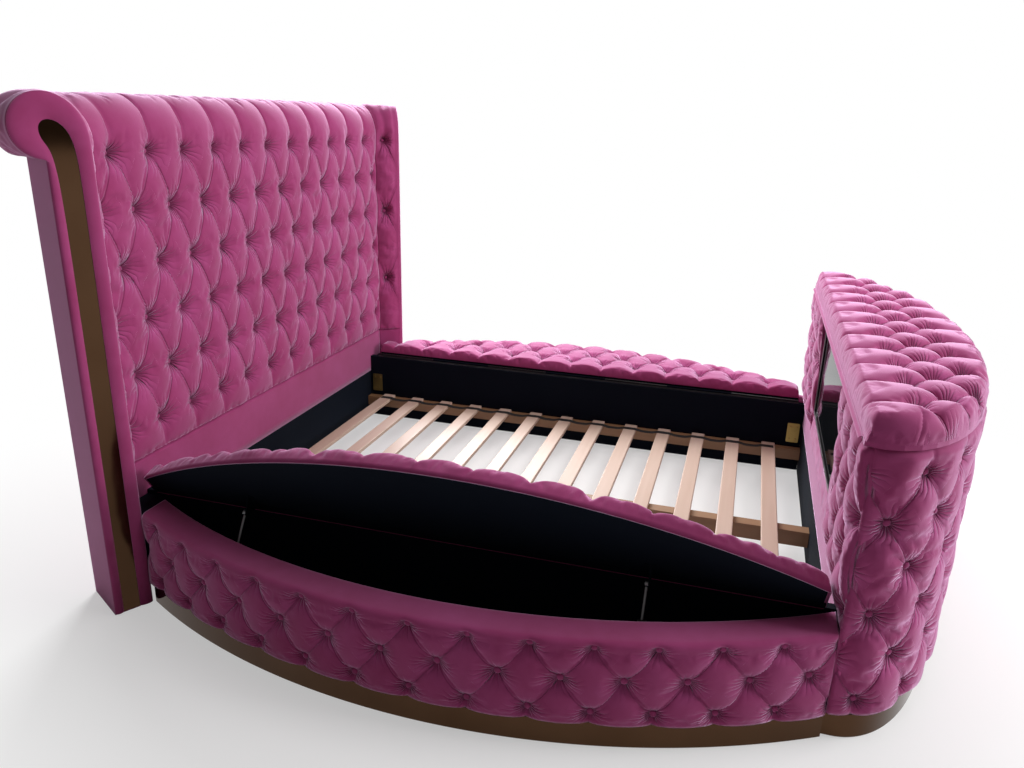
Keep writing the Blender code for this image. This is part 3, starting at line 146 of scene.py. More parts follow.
def add_bump(tree, shader, height, distance, strength=1.0, under=None):
    inputs = {"Strength": strength, "Distance": distance, "Height": height}
    if under is not None:
        inputs["Normal"] = under
    bump = add_node(tree, "ShaderNodeBump", inputs).outputs[0]
    feed(tree, shader, {"Normal": bump})
    return bump

# %% [markdown]
# Velvet is a short pile. It looks dark where the light runs into it and pale where it
# skims over it, which the sheen gives. The pile is never brushed quite the same way, so the
# pink drifts a little. Round each button the cloth gathers in fine creases that fan out.
# Each pad keeps its button grid in a UV map, and the creases are drawn from that, so that
# they start at every button. The colour also carries painted shade, darker in each button's
# dimple and faintly along the folds, and a painted highlight, a lighter fan below each
# button. Pads without buttons leave the "gather" attribute at zero.

# %% Pink velvet
diamond_half_width, diamond_half_height = 0.075, 0.13


def button_space(tree):
    """Across and along from the nearest button, the distance to it, and to the nearest fold."""
    grid = add_node(tree, "ShaderNodeUVMap", uv_map="buttons")
    split = add_node(tree, "ShaderNodeSeparateXYZ", {0: grid.outputs[0]})
    parts = [minus(tree, value, calculate(tree, "ROUND", value)) for value in split.outputs[:2]]
    across = times(tree, plus(tree, *parts), diamond_half_width)
    along = times(tree, minus(tree, *parts), diamond_half_height)
    distance = calculate(tree, "SQRT", plus(tree, times(tree, across, across), times(tree, along, along)))
    fold = calculate(tree, "MINIMUM", *[calculate(tree, "ABSOLUTE", part) for part in parts])
    return across, along, distance, fold


def gather_creases(tree, across, along, distance):
    """Fine folds that fan out from each button."""
    angle = calculate(tree, "ARCTAN2", along, across)
    wander = times(tree, object_noise(tree, 9.0, 2.0), 14.0)
    fan = calculate(tree, "SINE", plus(tree, times(tree, angle, 9.0), wander))
    ridge = calculate(tree, "POWER", calculate(tree, "ABSOLUTE", fan), 0.6)
    outer = minus(tree, 1.0, calculate(tree, "DIVIDE", distance, 0.070), True)
    inner = calculate(tree, "DIVIDE", distance, 0.014, True)
    patchy = times(tree, object_noise(tree, 16.0, 1.0), 1.6, True)
    return times(tree, ridge, times(tree, times(tree, outer, inner), patchy))


def falling(tree, value, reach):
    """1 where a value is nothing, and close to nothing past its reach."""
    share = calculate(tree, "DIVIDE", value, reach)
    return calculate(tree, "EXPONENT", times(tree, times(tree, share, share), -1.0))


def make_velvet(name, deep, pale):
    made, tree, shader = start_material(name)
    across, along, distance, fold = button_space(tree)
    marked = add_node(tree, "ShaderNodeAttribute", attribute_name="gather").outputs["Fac"]
    drift = object_noise(tree, 5.0, 4.0)
    brushed = object_noise(tree, 26.0, 3.0)
    # Painted highlight: below each button the pink is lightened in a fan, where the pile catches the light.
    under = times(tree, along, -28.0, True)
    painted_fan_highlight = times(tree, times(tree, under, falling(tree, distance, 0.046)), brushed)
    shade = plus(tree, times(tree, drift, 0.75), times(tree, brushed, 0.4))
    shade = plus(tree, shade, times(tree, times(tree, painted_fan_highlight, marked), 1.5))
    color = blend_colors(tree, minus(tree, shade, 0.12, True), deep, pale)
    # Painted shade: the colour is darkened towards a dark copy of the velvet in each button's dimple and
    # faintly along the folds, and the sheen is lowered there.
    near_button, near_fold = falling(tree, distance, 0.017), falling(tree, fold, 0.022)
    painted_dimple_and_fold_shade = plus(tree, times(tree, near_button, 0.62), times(tree, near_fold, 0.17), True)
    painted_dimple_and_fold_shade = times(tree, painted_dimple_and_fold_shade, marked, True)
    painted_shade_color = tuple(part * 0.30 for part in deep)
    feed(tree, shader, {
        "Base Color": blend_colors(tree, painted_dimple_and_fold_shade, color, painted_shade_color), "Roughness": 0.88, "Specular IOR Level": 0.10,
        "Sheen Weight": minus(tree, 1.0, painted_dimple_and_fold_shade, True), "Sheen Roughness": 0.40,
        "Sheen Tint": (1.0, 0.70, 1.0, 1.0)})
    below = add_bump(tree, shader, object_noise(tree, 420.0, 2.0), 0.0006, 0.35)
    creases = times(tree, gather_creases(tree, across, along, distance), marked)
    below = add_bump(tree, shader, creases, 0.006, 0.9, below)
    line = times(tree, falling(tree, fold, 0.012), times(tree, marked, -1.0))
    add_bump(tree, shader, line, 0.0024, 0.8, below)
    return made


velvet = make_velvet("velvet_pink", (0.270, 0.028, 0.104), (0.415, 0.074, 0.228))
print("velvet ready")

# %% [markdown]
# The boxes and the undersides of the lids are lined with a thin black-blue cloth, pulled
# flat over the boards. At this scale only a faint weave and a little unevenness show.

# %% Dark lining
def make_lining():
    made, tree, shader = start_material("lining_cloth")
    uneven = object_noise(tree, 3.0, 5.0)
    color = blend_colors(tree, uneven, (0.0014, 0.0032, 0.0078), (0.0030, 0.0062, 0.0135))
    feed(tree, shader, {"Base Color": color, "Roughness": 0.85, "Specular IOR Level": 0.12})
    place = add_node(tree, "ShaderNodeTexCoord").outputs["Object"]
    inputs = {"Vector": place, "Scale": 230.0}
    waves = [add_node(tree, "ShaderNodeTexWave", inputs, bands_direction=axis) for axis in "XYZ"]
    first, second, third = [wave.outputs["Fac"] for wave in waves]
    weave = plus(tree, plus(tree, first, second), third)
    below = add_bump(tree, shader, weave, 0.0004, 0.3)
    add_bump(tree, shader, object_noise(tree, 14.0, 2.0), 0.003, 0.25, below)
    return made


lining = make_lining()
print("lining ready")

# %% [markdown]
# The plinths and the strips up the wings are bronze mirror sheet: a sharp reflection with a
# brown tint, a very slight wave and a few finger marks.

# %% Bronze mirror
def make_mirror():
    made, tree, shader = start_material("bronze_mirror")
    smear = object_noise(tree, 7.0, 5.0)
    color = blend_colors(tree, smear, (0.062, 0.031, 0.016), (0.090, 0.048, 0.026))
    rough = plus(tree, times(tree, smear, 0.10), 0.03)
    feed(tree, shader, {"Base Color": color, "Metallic": 1.0, "Roughness": rough})
    add_bump(tree, shader, object_noise(tree, 2.2, 1.0), 0.01, 0.12)
    return made


mirror = make_mirror()
print("bronze mirror ready")

# %% [markdown]
# The slats and their rails are birch. Wood is drawn by stretching noise along the grain, so
# one recipe takes the direction of the grain and serves both the slats and the rails.

# %% Birch
def make_birch(name, stretch, pale, brown):
    made, tree, shader = start_material(name)
    grain = object_noise(tree, 34.0, 6.0, stretch)
    broad = object_noise(tree, 5.5, 2.0, tuple(min(1.0, part * 3.0) for part in stretch))
    mixed = plus(tree, times(tree, grain, 0.7), times(tree, broad, 0.65))
    color = blend_colors(tree, minus(tree, mixed, 0.18, True), brown, pale)
    feed(tree, shader, {"Base Color": color, "Roughness": 0.5, "Coat Weight": 0.15, "Coat Roughness": 0.35})
    add_bump(tree, shader, grain, 0.0008, 0.3)
    return made


slat_birch = make_birch("birch_slats", (0.06, 1.0, 1.0), (0.64, 0.49, 0.41), (0.47, 0.31, 0.22))
rail_birch = make_birch("birch_rails", (1.0, 0.06, 1.0), (0.36, 0.20, 0.10), (0.20, 0.095, 0.04))
print("birch ready, with the grain along the slats and along the rails")

# %% [markdown]
# The metals differ in colour and in how rough they are: zinc on the strut rods, black paint on
# the strut tubes and the hinges' fixed leaves, yellow zinc on the corner plates.

# %% Metals, plastic and glass
def make_metal(name, color, metallic, rough, grain=0.15):
    made, tree, shader = start_material(name)
    worn = object_noise(tree, 30.0, 5.0)
    darker = tuple(part * 0.7 for part in color)
    feed(tree, shader, {
        "Base Color": blend_colors(tree, worn, darker, color), "Metallic": metallic,
        "Roughness": plus(tree, times(tree, worn, grain), rough)})
    add_bump(tree, shader, object_noise(tree, 260.0, 2.0), 0.0002, 0.3)
    return made


zinc = make_metal("bright_zinc", (0.44, 0.45, 0.47), 1.0, 0.24)
black_paint = make_metal("black_paint", (0.012, 0.012, 0.013), 0.0, 0.28)
yellow_zinc = make_metal("yellow_zinc", (0.56, 0.38, 0.13), 1.0, 0.30)
case_black = make_metal("gloss_black_case", (0.010, 0.010, 0.011), 0.0, 0.10, 0.05)
webbing_black = make_metal("webbing_black", (0.014, 0.013, 0.013), 0.0, 0.75)


def make_screen():
    made, tree, shader = start_material("dark_screen")
    dust = object_noise(tree, 12.0, 6.0)
    color = blend_colors(tree, dust, (0.004, 0.005, 0.006), (0.008, 0.009, 0.010))
    rough = plus(tree, times(tree, dust, 0.04), 0.02)
    feed(tree, shader, {"Base Color": color, "Roughness": rough, "IOR": 1.10})
    return made


screen_glass = make_screen()
print("materials:", ", ".join(sorted(item.name for item in bpy.data.materials)))

# %% [markdown]
# Pieces come next. These helpers make points, turn a mesh into an object with its finish, open
# a mesh for changes, and hang a piece on the body it rides on, hiding the solids it stands for.

# %% Piece helpers
both_sides = ((-1.0, "near"), (1.0, "far"))


def points_at(x, y, z):
    """Points from their three coordinates, each an array or one number for all of them."""
    return np.stack(np.broadcast_arrays(x, y, z), axis=-1)


def make_object(mesh, finish=None):
    if finish is not None:
        mesh.materials.append(finish)
    made = bpy.data.objects.new(mesh.name, mesh)
    bpy.context.scene.collection.objects.link(made)
    return made


@contextmanager
def editing(mesh):
    work = bmesh.new()
    work.from_mesh(mesh)
    yield work
    work.to_mesh(mesh)
    work.free()


def declare(piece, body, stands_for=()):
    """Hang a piece on the body it rides on, and hide the imported solids it stands for."""
    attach(piece, body)
    if stands_for:
        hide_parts(*stands_for)


def even(low, high, step):
    """Numbers from low to high in equal steps, none longer than step."""
    return np.linspace(low, high, max(2, int(math.ceil((high - low) / step)) + 1))


def ease(value, low, high):
    """From 0 below low to 1 above high, gently at both ends."""
    share = np.clip((value - low) / (high - low), 0.0, 1.0)
    return share * share * (3.0 - 2.0 * share)


def rounded(distance, radius):
    """From 0 at a cushion's edge to 1 on its flat top, in a quarter of an ellipse."""
    share = np.clip(distance / radius, 0.0, 1.0)
    return np.sqrt(1.0 - (1.0 - share) ** 2)


print("helpers ready")

# %% [markdown]
# Boards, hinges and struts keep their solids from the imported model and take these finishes.
# The lid's leaf of each hinge is covered by the lining, so it takes the lining's finish.

# %% Finish the pieces that stay
finish_by_slot = {
    "lining": lining, "mirror_gold": mirror, "birch": rail_birch, "steel": zinc,
    "black_steel": black_paint, "tv_case": case_black, "tv_glass": screen_glass, "velvet": velvet,
}
slot_of = {part["node"]: part["material_slot"] for part in frame["record"]["subparts"]}
for node, item in frame["nodes"].items():
    finish = finish_by_slot[slot_of[node]]
    if node.startswith("hinge_"):
        finish = lining if "moving" in node else black_paint
    if not item.data.materials:
        item.data.materials.append(finish)
    for index in range(len(item.material_slots)):
        item.material_slots[index].material = finish
print("finished", len(frame["nodes"]), "nodes")

# %% [markdown]
# Every pad is a sheet of points. Its front follows the button tufting, its edges turn back
# to the board, and its back is closed with a few long faces. NumPy works out all the points
# of a pad at once, which keeps a grid of half-centimetre squares fast.

# %% Closed mesh of a pad
def pad_mesh(name, front, back, kept):
    """The front's grid, a rim round it, and strips behind between the rows that kept lists."""
    across, up = front.shape[:2]
    index = np.arange(across * up).reshape(across, up)
    quads = np.stack([index[:-1, :-1], index[1:, :-1], index[1:, 1:], index[:-1, 1:]], axis=-1)
    faces = quads.reshape(-1, 4).tolist()
    points = front.reshape(-1, 3).tolist()
    ring = [(i, 0) for i in range(across)] + [(across - 1, j) for j in range(1, up)]
    ring += [(i, up - 1) for i in range(across - 2, -1, -1)] + [(0, j) for j in range(up - 2, 0, -1)]
    kept = sorted({0, up - 1, *(line % up for line in (kept or []))})
    inner = [(i, j) for j in kept[1:-1] for i in range(1, across - 1)]
    twin = {}
    for spot in ring + inner:
        twin[spot] = len(points)
        points.append(back[spot].tolist())
    for first, second in zip(ring, ring[1:] + ring[:1]):
        faces.append((int(index[second]), int(index[first]), twin[first], twin[second]))
    for low, high in zip(kept, kept[1:]):
        for i in range(across - 1):
            left = [twin[(i, j)] for j in (range(low, high + 1) if i == 0 else (low, high))]
            right = [twin[(i + 1, j)] for j in (range(high, low - 1, -1) if i == across - 2 else (high, low))]
            faces.append(left + right)
    mesh = bpy.data.meshes.new(name)
    mesh.from_pydata(points, [], faces)
    with editing(mesh) as work:
        bmesh.ops.recalc_face_normals(work, faces=work.faces)
        if work.calc_volume(signed=True) < 0.0:
            bmesh.ops.reverse_faces(work, faces=work.faces)
    return mesh, np.array(points)


print("a pad is closed with a rim and a few strips")

# %% [markdown]
# Each pad also carries three things point by point: its place in the button grid and the
# strength of its creases, both for the velvet, and how firmly it is held as cloth, which is
# wholly at its edges, its back and its buttons.

# %% Pad builder
pads = []
button_hold = 0.16


def how_held(heights, index, folds, plain_below, plain_above, pinned):
    """1 where the cloth is fixed and 0 where it is free, for each point of the mesh."""
    off = (folds - np.round(folds)).reshape(-1, 2)
    held = np.ones(len(heights))
    held[:index.size] = np.exp(-((np.hypot(off[:, 0], off[:, 1]) / button_hold) ** 4))
    for line in (0, 1, -2, -1):
        held[index[line]] = 1.0
        held[index[:, line]] = 1.0
    held[heights < plain_below] = 1.0
    held = np.maximum(held, ease(heights, plain_above - 0.030, plain_above))
    if pinned is not None:
        held[index[pinned]] = 1.0
    return held


def close_pad(name, front, back, folds, gather, kept=None, plain_below=0.0, pinned=None, plain_above=9.0):
    """A closed pad. front and back are grids of points (columns, rows, 3). The cloth is pulled
    flat below the height plain_below and above plain_above, and pinned marks the columns that
    are fixed to the board."""
    mesh, points = pad_mesh(name, front, back, kept)
    places = np.full((len(points), 2), 0.5)
    places[:gather.size] = folds.reshape(-1, 2)
    strength = np.zeros(len(points))
    strength[:gather.size] = gather.reshape(-1)
    index = np.arange(gather.size).reshape(gather.shape)
    held = how_held(points[:, 2], index, folds, plain_below, plain_above, pinned)
    corners = np.empty(len(mesh.loops), dtype=np.int32)
    mesh.loops.foreach_get("vertex_index", corners)
    mesh.uv_layers.new(name="buttons").data.foreach_set("uv", places[corners].reshape(-1).astype(np.float32))
    for label, values in (("gather", strength), ("held", held)):
        mesh.attributes.new(label, "FLOAT", "POINT").data.foreach_set("value", values.astype(np.float32))
    mesh.polygons.foreach_set("use_smooth", [True] * len(mesh.polygons))
    with editing(mesh) as work:
        bmesh.ops.remove_doubles(work, verts=work.verts, dist=0.00002)
        bmesh.ops.dissolve_degenerate(work, edges=work.edges, dist=0.00002)
    pads.append(make_object(mesh, velvet))
    print(name, "has", len(mesh.polygons), "faces")
    return pads[-1]


def fill_grid(lines, work_out):
    """The four grids of a pad's front, back, button places and creases, worked out by line."""
    made = [work_out(line) for line in lines]
    return [np.stack([line[part] for line in made], axis=1) for part in range(4)]


# %% [markdown]
# Deep buttoning pulls the cloth down on a staggered grid. Folds run from button to button,
# and the padding swells into a diamond between four of them. Two slanting coordinates make
# this simple: a button sits wherever both are whole numbers, and a fold runs wherever one
# of them is. The folds are bowed a little, and each diamond is filled a little differently.

# %% Button tufting
def scatter(first, second, seed):
    """A steady number from 0 to 1 for each diamond."""
    value = np.sin(first * 127.1 + second * 311.7 + seed * 74.7) * 43758.5453
    return value - np.floor(value)


def tufting(along, up, pitch, row, seed=1.0, rows=5, wide=0.019):
    """Swell, nearness to a button and the grid coordinates, for points of a pad. The rows of
    buttons lie at and below up = 0, and rows is how many there are."""
    first = along / pitch + up / (2.0 * row)
    second = along / pitch - up / (2.0 * row)
    bowed_first = first + 0.035 * np.sin(np.pi * second) ** 2 * np.sign(np.cos(np.pi * first))
    bowed_second = second + 0.050 * np.sin(np.pi * first) ** 2
    swell = np.sqrt(np.abs(np.sin(np.pi * bowed_first) * np.sin(np.pi * bowed_second)))
    fill = scatter(np.floor(bowed_first), np.floor(bowed_second), seed)
    off_first, off_second = first - np.round(first), second - np.round(second)
    distance = np.hypot((off_first + off_second) / 2.0 * pitch, (off_first - off_second) * row)
    level = np.round(second) - np.round(first)
    near = np.exp(-((distance / wide) ** 2)) * (level > -0.5) * (level < rows - 0.5)
    return swell * (0.93 + 0.14 * fill), near, np.stack([first, second], axis=-1)


def pleating(along, pitch):
    """Straight folds, one for each button."""
    return np.abs(np.sin(np.pi * along / pitch)) ** 0.5


# %% [markdown]
# The headboard's face is flat up to its shoulder, curls back over a roll and ends under it.
# One profile gives "out", the distance towards the back, and height. The wings use the same
# profile, turned out by thirty degrees and cut to meet the middle on a mitre.

# %% Headboard profile
half_width, wing_length = 0.8767, 0.108
wing_flare = math.radians(30.0)
mitre = math.tan((math.pi / 2 - wing_flare) / 2)
roll_out, roll_height, roll_radius, roll_turn = 0.101, 1.379, 0.081, math.radians(170.0)
shoulder, shoulder_rise = 1.343, 0.117
head_pitch, head_row, head_top = 0.1537, 0.1608, 1.307
last_row = head_top - 5 * head_row
head_bottom, wing_bottom, head_seam = 0.2263, 0.004, 0.405
head_puff, head_sink = 0.0165, 0.0210
face_depth, roll_depth, mitre_gap = 0.036, 0.030, 0.0003


def head_lines(bottom):
    """The profile's lines from the bottom up: height while flat, then angle round the roll."""
    flat = [*even(bottom, head_seam - 0.012, 0.03), *even(head_seam - 0.008, head_seam + 0.008, 0.002)]
    flat += [*even(head_seam + 0.014, shoulder, head_row / 13)]
    bend = even(0.0, math.pi / 2, math.radians(4.5))[1:]
    roll = even(0.0, roll_turn, math.radians(5.0))[1:]
    parts = (("flat", flat), ("bend", bend), ("roll", roll))
    return [(kind, value) for kind, values in parts for value in values]


def head_point(kind, value, depth):
    """Out and height at a depth under the plain face. depth may be an array."""
    if kind == "flat":
        return depth, value
    if kind == "bend":
        out = roll_out - (roll_out - depth) * math.cos(value)
        return out, shoulder + (shoulder_rise - depth) * math.sin(value)
    angle, reach = math.pi / 2 - value, roll_radius - depth
    return roll_out + reach * math.cos(angle), roll_height + reach * math.sin(angle)


def head_swell(along, kind, value, seed):
    """How far the face stands out, the grid coordinates and the strength of the creases."""
    height = value if kind == "flat" else shoulder + 0.11 * value / (math.pi / 2)
    up = np.full_like(along, height - head_top)
    swell, near, folds = tufting(along, up, head_pitch, head_row, seed, rows=6)
    gather = 1.0 - ease(height, head_top + 0.005, head_top + 0.04)
    gather = gather * ease(height, head_seam + 0.05, last_row)
    gather = gather * ease(np.abs(np.abs(along) - half_width), 0.006, 0.034)
    if kind == "flat" and height < last_row:
        fade = ease(height, head_seam, last_row)
        pleat = pleating(along + head_pitch / 2, head_pitch)
        stand = head_puff * (0.45 + 0.55 * fade) * pleat ** (1.6 - 0.6 * fade)
        if height < head_seam:
            stand = np.full_like(along, 0.002)
            gather = gather * 0.0
        seam = math.exp(-(((height - head_seam) / 0.004) ** 2))
        return stand * (1.0 - seam) - 0.007 * seam - head_sink * near * fade, folds, gather
    if kind == "flat" and height <= head_top:
        return head_puff * swell - head_sink * near, folds, gather
    if kind == "flat":
        return head_puff * pleating(along, head_pitch) - head_sink * near, folds, gather
    fold = pleating(along, head_pitch) ** 0.7
    if kind == "bend":
        share = value / (math.pi / 2)
        fade, drop = 1.0 - 0.70 * share, 0.9 * share
        stand = head_puff * (fade * fold - drop * fade) - head_sink * near * (1.0 - share)
        return stand, folds, gather * (1.0 - share)
    share = value / roll_turn
    fade = max(0.0, 0.30 - 0.60 * share)
    return head_puff * fade * (fold - 0.9 - 0.1 * share), folds, gather * 0.0


def head_pad_depth(kind, value):
    """How thick the padding is, from its plain face to the board."""
    if kind == "bend":
        return face_depth - (face_depth - roll_depth) * min(1.0, value / (math.pi / 2))
    return face_depth if kind == "flat" else roll_depth


print("headboard rolls back", roll_radius, "m round its centre at height", roll_height)

# %% [markdown]
# The middle pad and the two wing pads are built from that profile. Near the mitre the
# columns slide along, so that the middle and the wing meet in one straight corner all the
# way up and round the roll.

# %% Headboard pads
def head_grid(columns, bottom, place, seed):
    lines = head_lines(bottom)
    edge = 1.0 - ease(columns, half_width + wing_length - 0.036, half_width + wing_length - 0.003)

    def at_line(line):
        stand, folds, gather = head_swell(columns, *line, seed)
        front = place(columns, *head_point(*line, -stand * edge))
        return front, place(columns, *head_point(*line, head_pad_depth(*line))), folds, gather * edge

    bends = [j for j, (kind, _) in enumerate(lines) if kind != "flat"]
    return *fill_grid(lines, at_line), [bends[0]] + bends[::6]


def middle_place(along, out, height):
    limit = half_width + mitre * out - mitre_gap
    share = ease(np.abs(along), half_width - 0.16, half_width)
    return points_at(along + np.sign(along) * share * (limit - half_width), head_y + out, height)


def wing_end(side, past, out, height):
    """A point of a wing: how far past the corner, how far out and how high."""
    x = side * (half_width + past * math.sin(wing_flare) + out * math.cos(wing_flare))
    return points_at(x, head_y + out * math.sin(wing_flare) - past * math.cos(wing_flare), height)


def wing_place(side):
    def place(along, out, height):
        start = mitre_gap - mitre * out
        return wing_end(side, start + (along - half_width) * (wing_length - start) / wing_length, out, height)
    return place


half_columns = even(0.0, half_width, head_pitch / 26)
columns = np.concatenate([-half_columns[:0:-1], half_columns])
grids = head_grid(columns, head_bottom, middle_place, 1.0)
cushion = close_pad("headboard_velvet", *grids, plain_below=head_seam + 0.004)
declare(cushion, "base", ["headboard_pad"])
columns = half_width + even(0.0, wing_length, 0.006)
for side, word in both_sides:
    grids = head_grid(columns, wing_bottom, wing_place(side), 2.0)
    outer_columns = columns > half_width + wing_length - 0.022
    cushion = close_pad("wing_velvet_" + word, *grids, plain_below=head_seam + 0.004, pinned=outer_columns)
    declare(cushion, "base", ["wing_pad_" + word])

# %% [markdown]
# The side boxes bow out in plan on one long arc. Their padding stands on the wall, turns
# over the rim in a small round and lies flat to the opening. A point is found by how far it
# has gone round the arc and by how far it has gone up the padding's profile.

# %% Side box profile
side_radius, side_middle, side_center = 2.03, 0.99, -0.865
side_start, side_end = 0.0043, 1.91997
side_pitch, side_row, side_top = 0.149, 0.0905, 0.275
rim_height, rim_round, rim_width, lip_round = 0.300, 0.016, 0.095, 0.006
side_puff, side_sink = 0.0115, 0.0150
board_inset, board_top, plinth_top = 0.0447, 0.2877, 0.0703
face_top = rim_height - rim_round
turn_length = rim_round * math.pi / 2


def bow_place(side, arc, inset, height):
    y = side_middle + side_radius * np.sin(arc / side_radius)
    x = side_center + np.sqrt((side_radius - inset) ** 2 - (y - side_middle) ** 2)
    return points_at(side * x, foot_y + y, height)


def arc_ends(low, high):
    """Distances round the arc, of two places along the bed."""
    return [math.asin((y - side_middle) / side_radius) * side_radius for y in (low, high)]


def side_lines():
    """Inset, height, outward tilt and distance up from the top row, for each line."""
    lines = []
    for height in even(plinth_top, face_top, side_row / 13):
        lines.append((0.0, height, 0.0, height - side_top))
    for angle in even(0.0, math.pi / 2, math.radians(15.0))[1:]:
        inset, height = rim_round * (1.0 - math.cos(angle)), face_top + rim_round * math.sin(angle)
        lines.append((inset, height, angle, face_top - side_top + rim_round * angle))
    for inset in even(rim_round, rim_width - lip_round, 0.010)[1:]:
        lines.append((inset, rim_height, math.pi / 2, face_top - side_top + turn_length + inset - rim_round))
    for angle in np.radians((30.0, 60.0, 90.0)):
        inset = rim_width - lip_round + lip_round * math.sin(angle)
        lines.append((inset, rim_height - lip_round * (1.0 - math.cos(angle)), math.pi / 2, 0.2))
    return lines


def side_swell(arc, up):
    swell, near, folds = tufting(arc, np.full_like(arc, up), side_pitch, side_row, 3.0, rows=3, wide=0.017)
    low = -2 * side_row
    gather = 0.7 * np.ones_like(arc) * (1.0 - ease(up, 0.002, 0.020)) * ease(up, low - 0.03, low)
    if up <= 0.0 and up >= low:
        return side_puff * (swell - 1.0) - side_sink * near, folds, gather
    fade = 1.0 - ease(up, 0.0, 0.026) if up > 0.0 else 1.0
    return fade * side_puff * (pleating(arc, side_pitch) - 1.0) - side_sink * near, folds, gather


def side_grid(side):
    arcs = even(*arc_ends(side_start, side_end), side_pitch / 26)

    def at_line(line):
        inset, height, tilt, up = line
        stand, folds, gather = side_swell(arcs, up)
        front = bow_place(side, arcs, inset - stand * math.cos(tilt), height + stand * math.sin(tilt))
        return front, bow_place(side, arcs, max(inset, board_inset), min(height, board_top)), folds, gather

    lines = side_lines()
    turns = [j for j, line in enumerate(lines) if line[0] >= board_inset or line[1] >= board_top]
    return *fill_grid(lines, at_line), [turns[0], turns[len(turns) // 2]]


for side, word in both_sides:
    cushion = close_pad("side_velvet_" + word, *side_grid(side), plain_above=face_top)
    declare(cushion, "base", ["side_pad_" + word])

# %% [markdown]
# Each side lid is a bow-shaped board with a tufted cushion on it. Its points are found by
# distance along the hinge, reach out from it and rise above it, and then turned about the
# hinge, so the open lid and the shut one come from the same function. The velvet runs down
# over the board's edge and is turned under it, where the dark lining starts.

# %% Side lid cushions
hinge_x, hinge_z = 0.7995, 0.3048
lid_start, lid_end, lid_inner = 0.030, 1.980, 0.004
lid_pitch, lid_row, lid_first, lid_first_row = 0.1458, 0.1072, 0.162, 0.0965
lid_base, lid_crest, lid_puff, lid_sink = 0.0116, 0.0490, 0.0140, 0.0135
lid_round, lid_wrap, lid_under, lid_turned = 0.014, 0.0018, -0.0033, 0.006
lid_open = {"near": math.radians(56.0), "far": 0.0}


def lid_edge(y):
    return -1.5176 + np.sqrt(1.8731**2 - (y - side_middle) ** 2)


def lid_place(side, angle, y, reach, rise):
    x = side * (hinge_x + reach * math.cos(angle) - rise * math.sin(angle))
    return points_at(x, foot_y + y, hinge_z + reach * math.sin(angle) + rise * math.cos(angle))


def edge_steps(radius, count=7):
    return radius * (1.0 - np.cos(np.linspace(0.0, math.pi / 2, count)))


def lid_swell(y, reach):
    swell, near, folds = tufting(y - lid_first, lid_first_row - reach, lid_pitch, lid_row, 5.0, rows=3)
    stand = lid_puff * (swell - 1.0)
    pleat = lid_puff * (pleating(y - lid_first, lid_pitch) - 1.0)
    stand = np.where(reach < lid_first_row, pleat, stand)
    at_edge = 1.0 - ease(lid_edge(y) - reach, 0.030, 0.075)
    stand = stand + at_edge * (pleat - stand)
    gather = (1.0 - at_edge) * ease(reach, lid_first_row - 0.03, lid_first_row)
    return stand - lid_sink * near, folds, gather


def lid_grid(side, angle):
    edge = edge_steps(lid_round)
    middle = even(lid_start + lid_round, lid_end - lid_round, 0.0058)[1:-1]
    ys = np.concatenate([[lid_start], lid_start + edge, middle, lid_end - edge[::-1], [lid_end]])
    outer = lid_edge(ys)
    low, high = lid_inner + lid_round, outer - lid_round
    rows = [np.full_like(ys, lid_inner + step) for step in edge]
    rows += [low + share * (high - low) for share in even(0.0, 1.0, 1.0 / 58)[1:-1]]
    rows += [outer - step for step in edge[::-1]] + [outer]
    reach = np.stack(rows, axis=1)
    y = np.repeat(ys[:, None], reach.shape[1], axis=1)
    stand, folds, gather = lid_swell(y, reach)
    long_edges = rounded(reach - lid_inner, lid_round) * rounded(outer[:, None] - reach, lid_round)
    ends = rounded(y - lid_start, lid_round) * rounded(lid_end - y, lid_round)
    top = lid_base + (lid_crest - lid_base + stand) * long_edges * ends
    bottom = np.full_like(top, lid_base - 0.0001)
    inside_y, inside_reach = y.copy(), reach.copy()
    first_end, last_end, outer_edge = (0, slice(None)), (-1, slice(None)), (slice(None), -1)
    turned = [(first_end, y, inside_y, -1.0), (last_end, y, inside_y, 1.0)]
    for line, values, inside, step in turned + [(outer_edge, reach, inside_reach, 1.0)]:
        values[line] += step * lid_wrap
        inside[line] -= step * lid_turned
        top[line], bottom[line] = lid_under, lid_under + 0.0006
    front = lid_place(side, angle, y, reach, top)
    back = lid_place(side, angle, inside_y, inside_reach, bottom)
    return front, back, folds, gather


for side, word in both_sides:
    cushion = close_pad("lid_velvet_" + word, *lid_grid(side, lid_open[word]), kept=[-2])
    declare(cushion, word + "_lid", ["lid_pad_" + word])

# %% [markdown]
# The footboard is half an oval in plan. Buttons are spaced evenly along the curve, so the
# curve's length is added up first and turned into a table from length to angle.

# %% Footboard's outer velvet
foot_half, foot_bow, foot_front = 0.905, 0.3445, -0.018
foot_pitch, foot_row, foot_top, foot_rows = 0.165, 0.1188, 0.707, 6
foot_puff, foot_sink = 0.0160, 0.0155
foot_high, foot_over = 0.7722, 0.0205
turns = np.linspace(0.0, math.pi, 4001)
steps = np.hypot(foot_half * np.sin(turns), foot_bow * np.cos(turns))
lengths = np.concatenate([[0.0], np.cumsum((steps[1:] + steps[:-1]) / 2 * (turns[1] - turns[0]))])
lengths = lengths - lengths[-1] / 2


def foot_place(along, inset, height):
    """along is measured round the bow from its middle. Past its ends it runs on straight."""
    angle = np.interp(along, lengths, turns)
    past = np.maximum(np.abs(along) - lengths[-1], 0.0)
    y = foot_y + foot_front - (foot_bow - inset) * np.sin(angle) + past
    return points_at((foot_half - inset) * np.cos(angle), y, height)


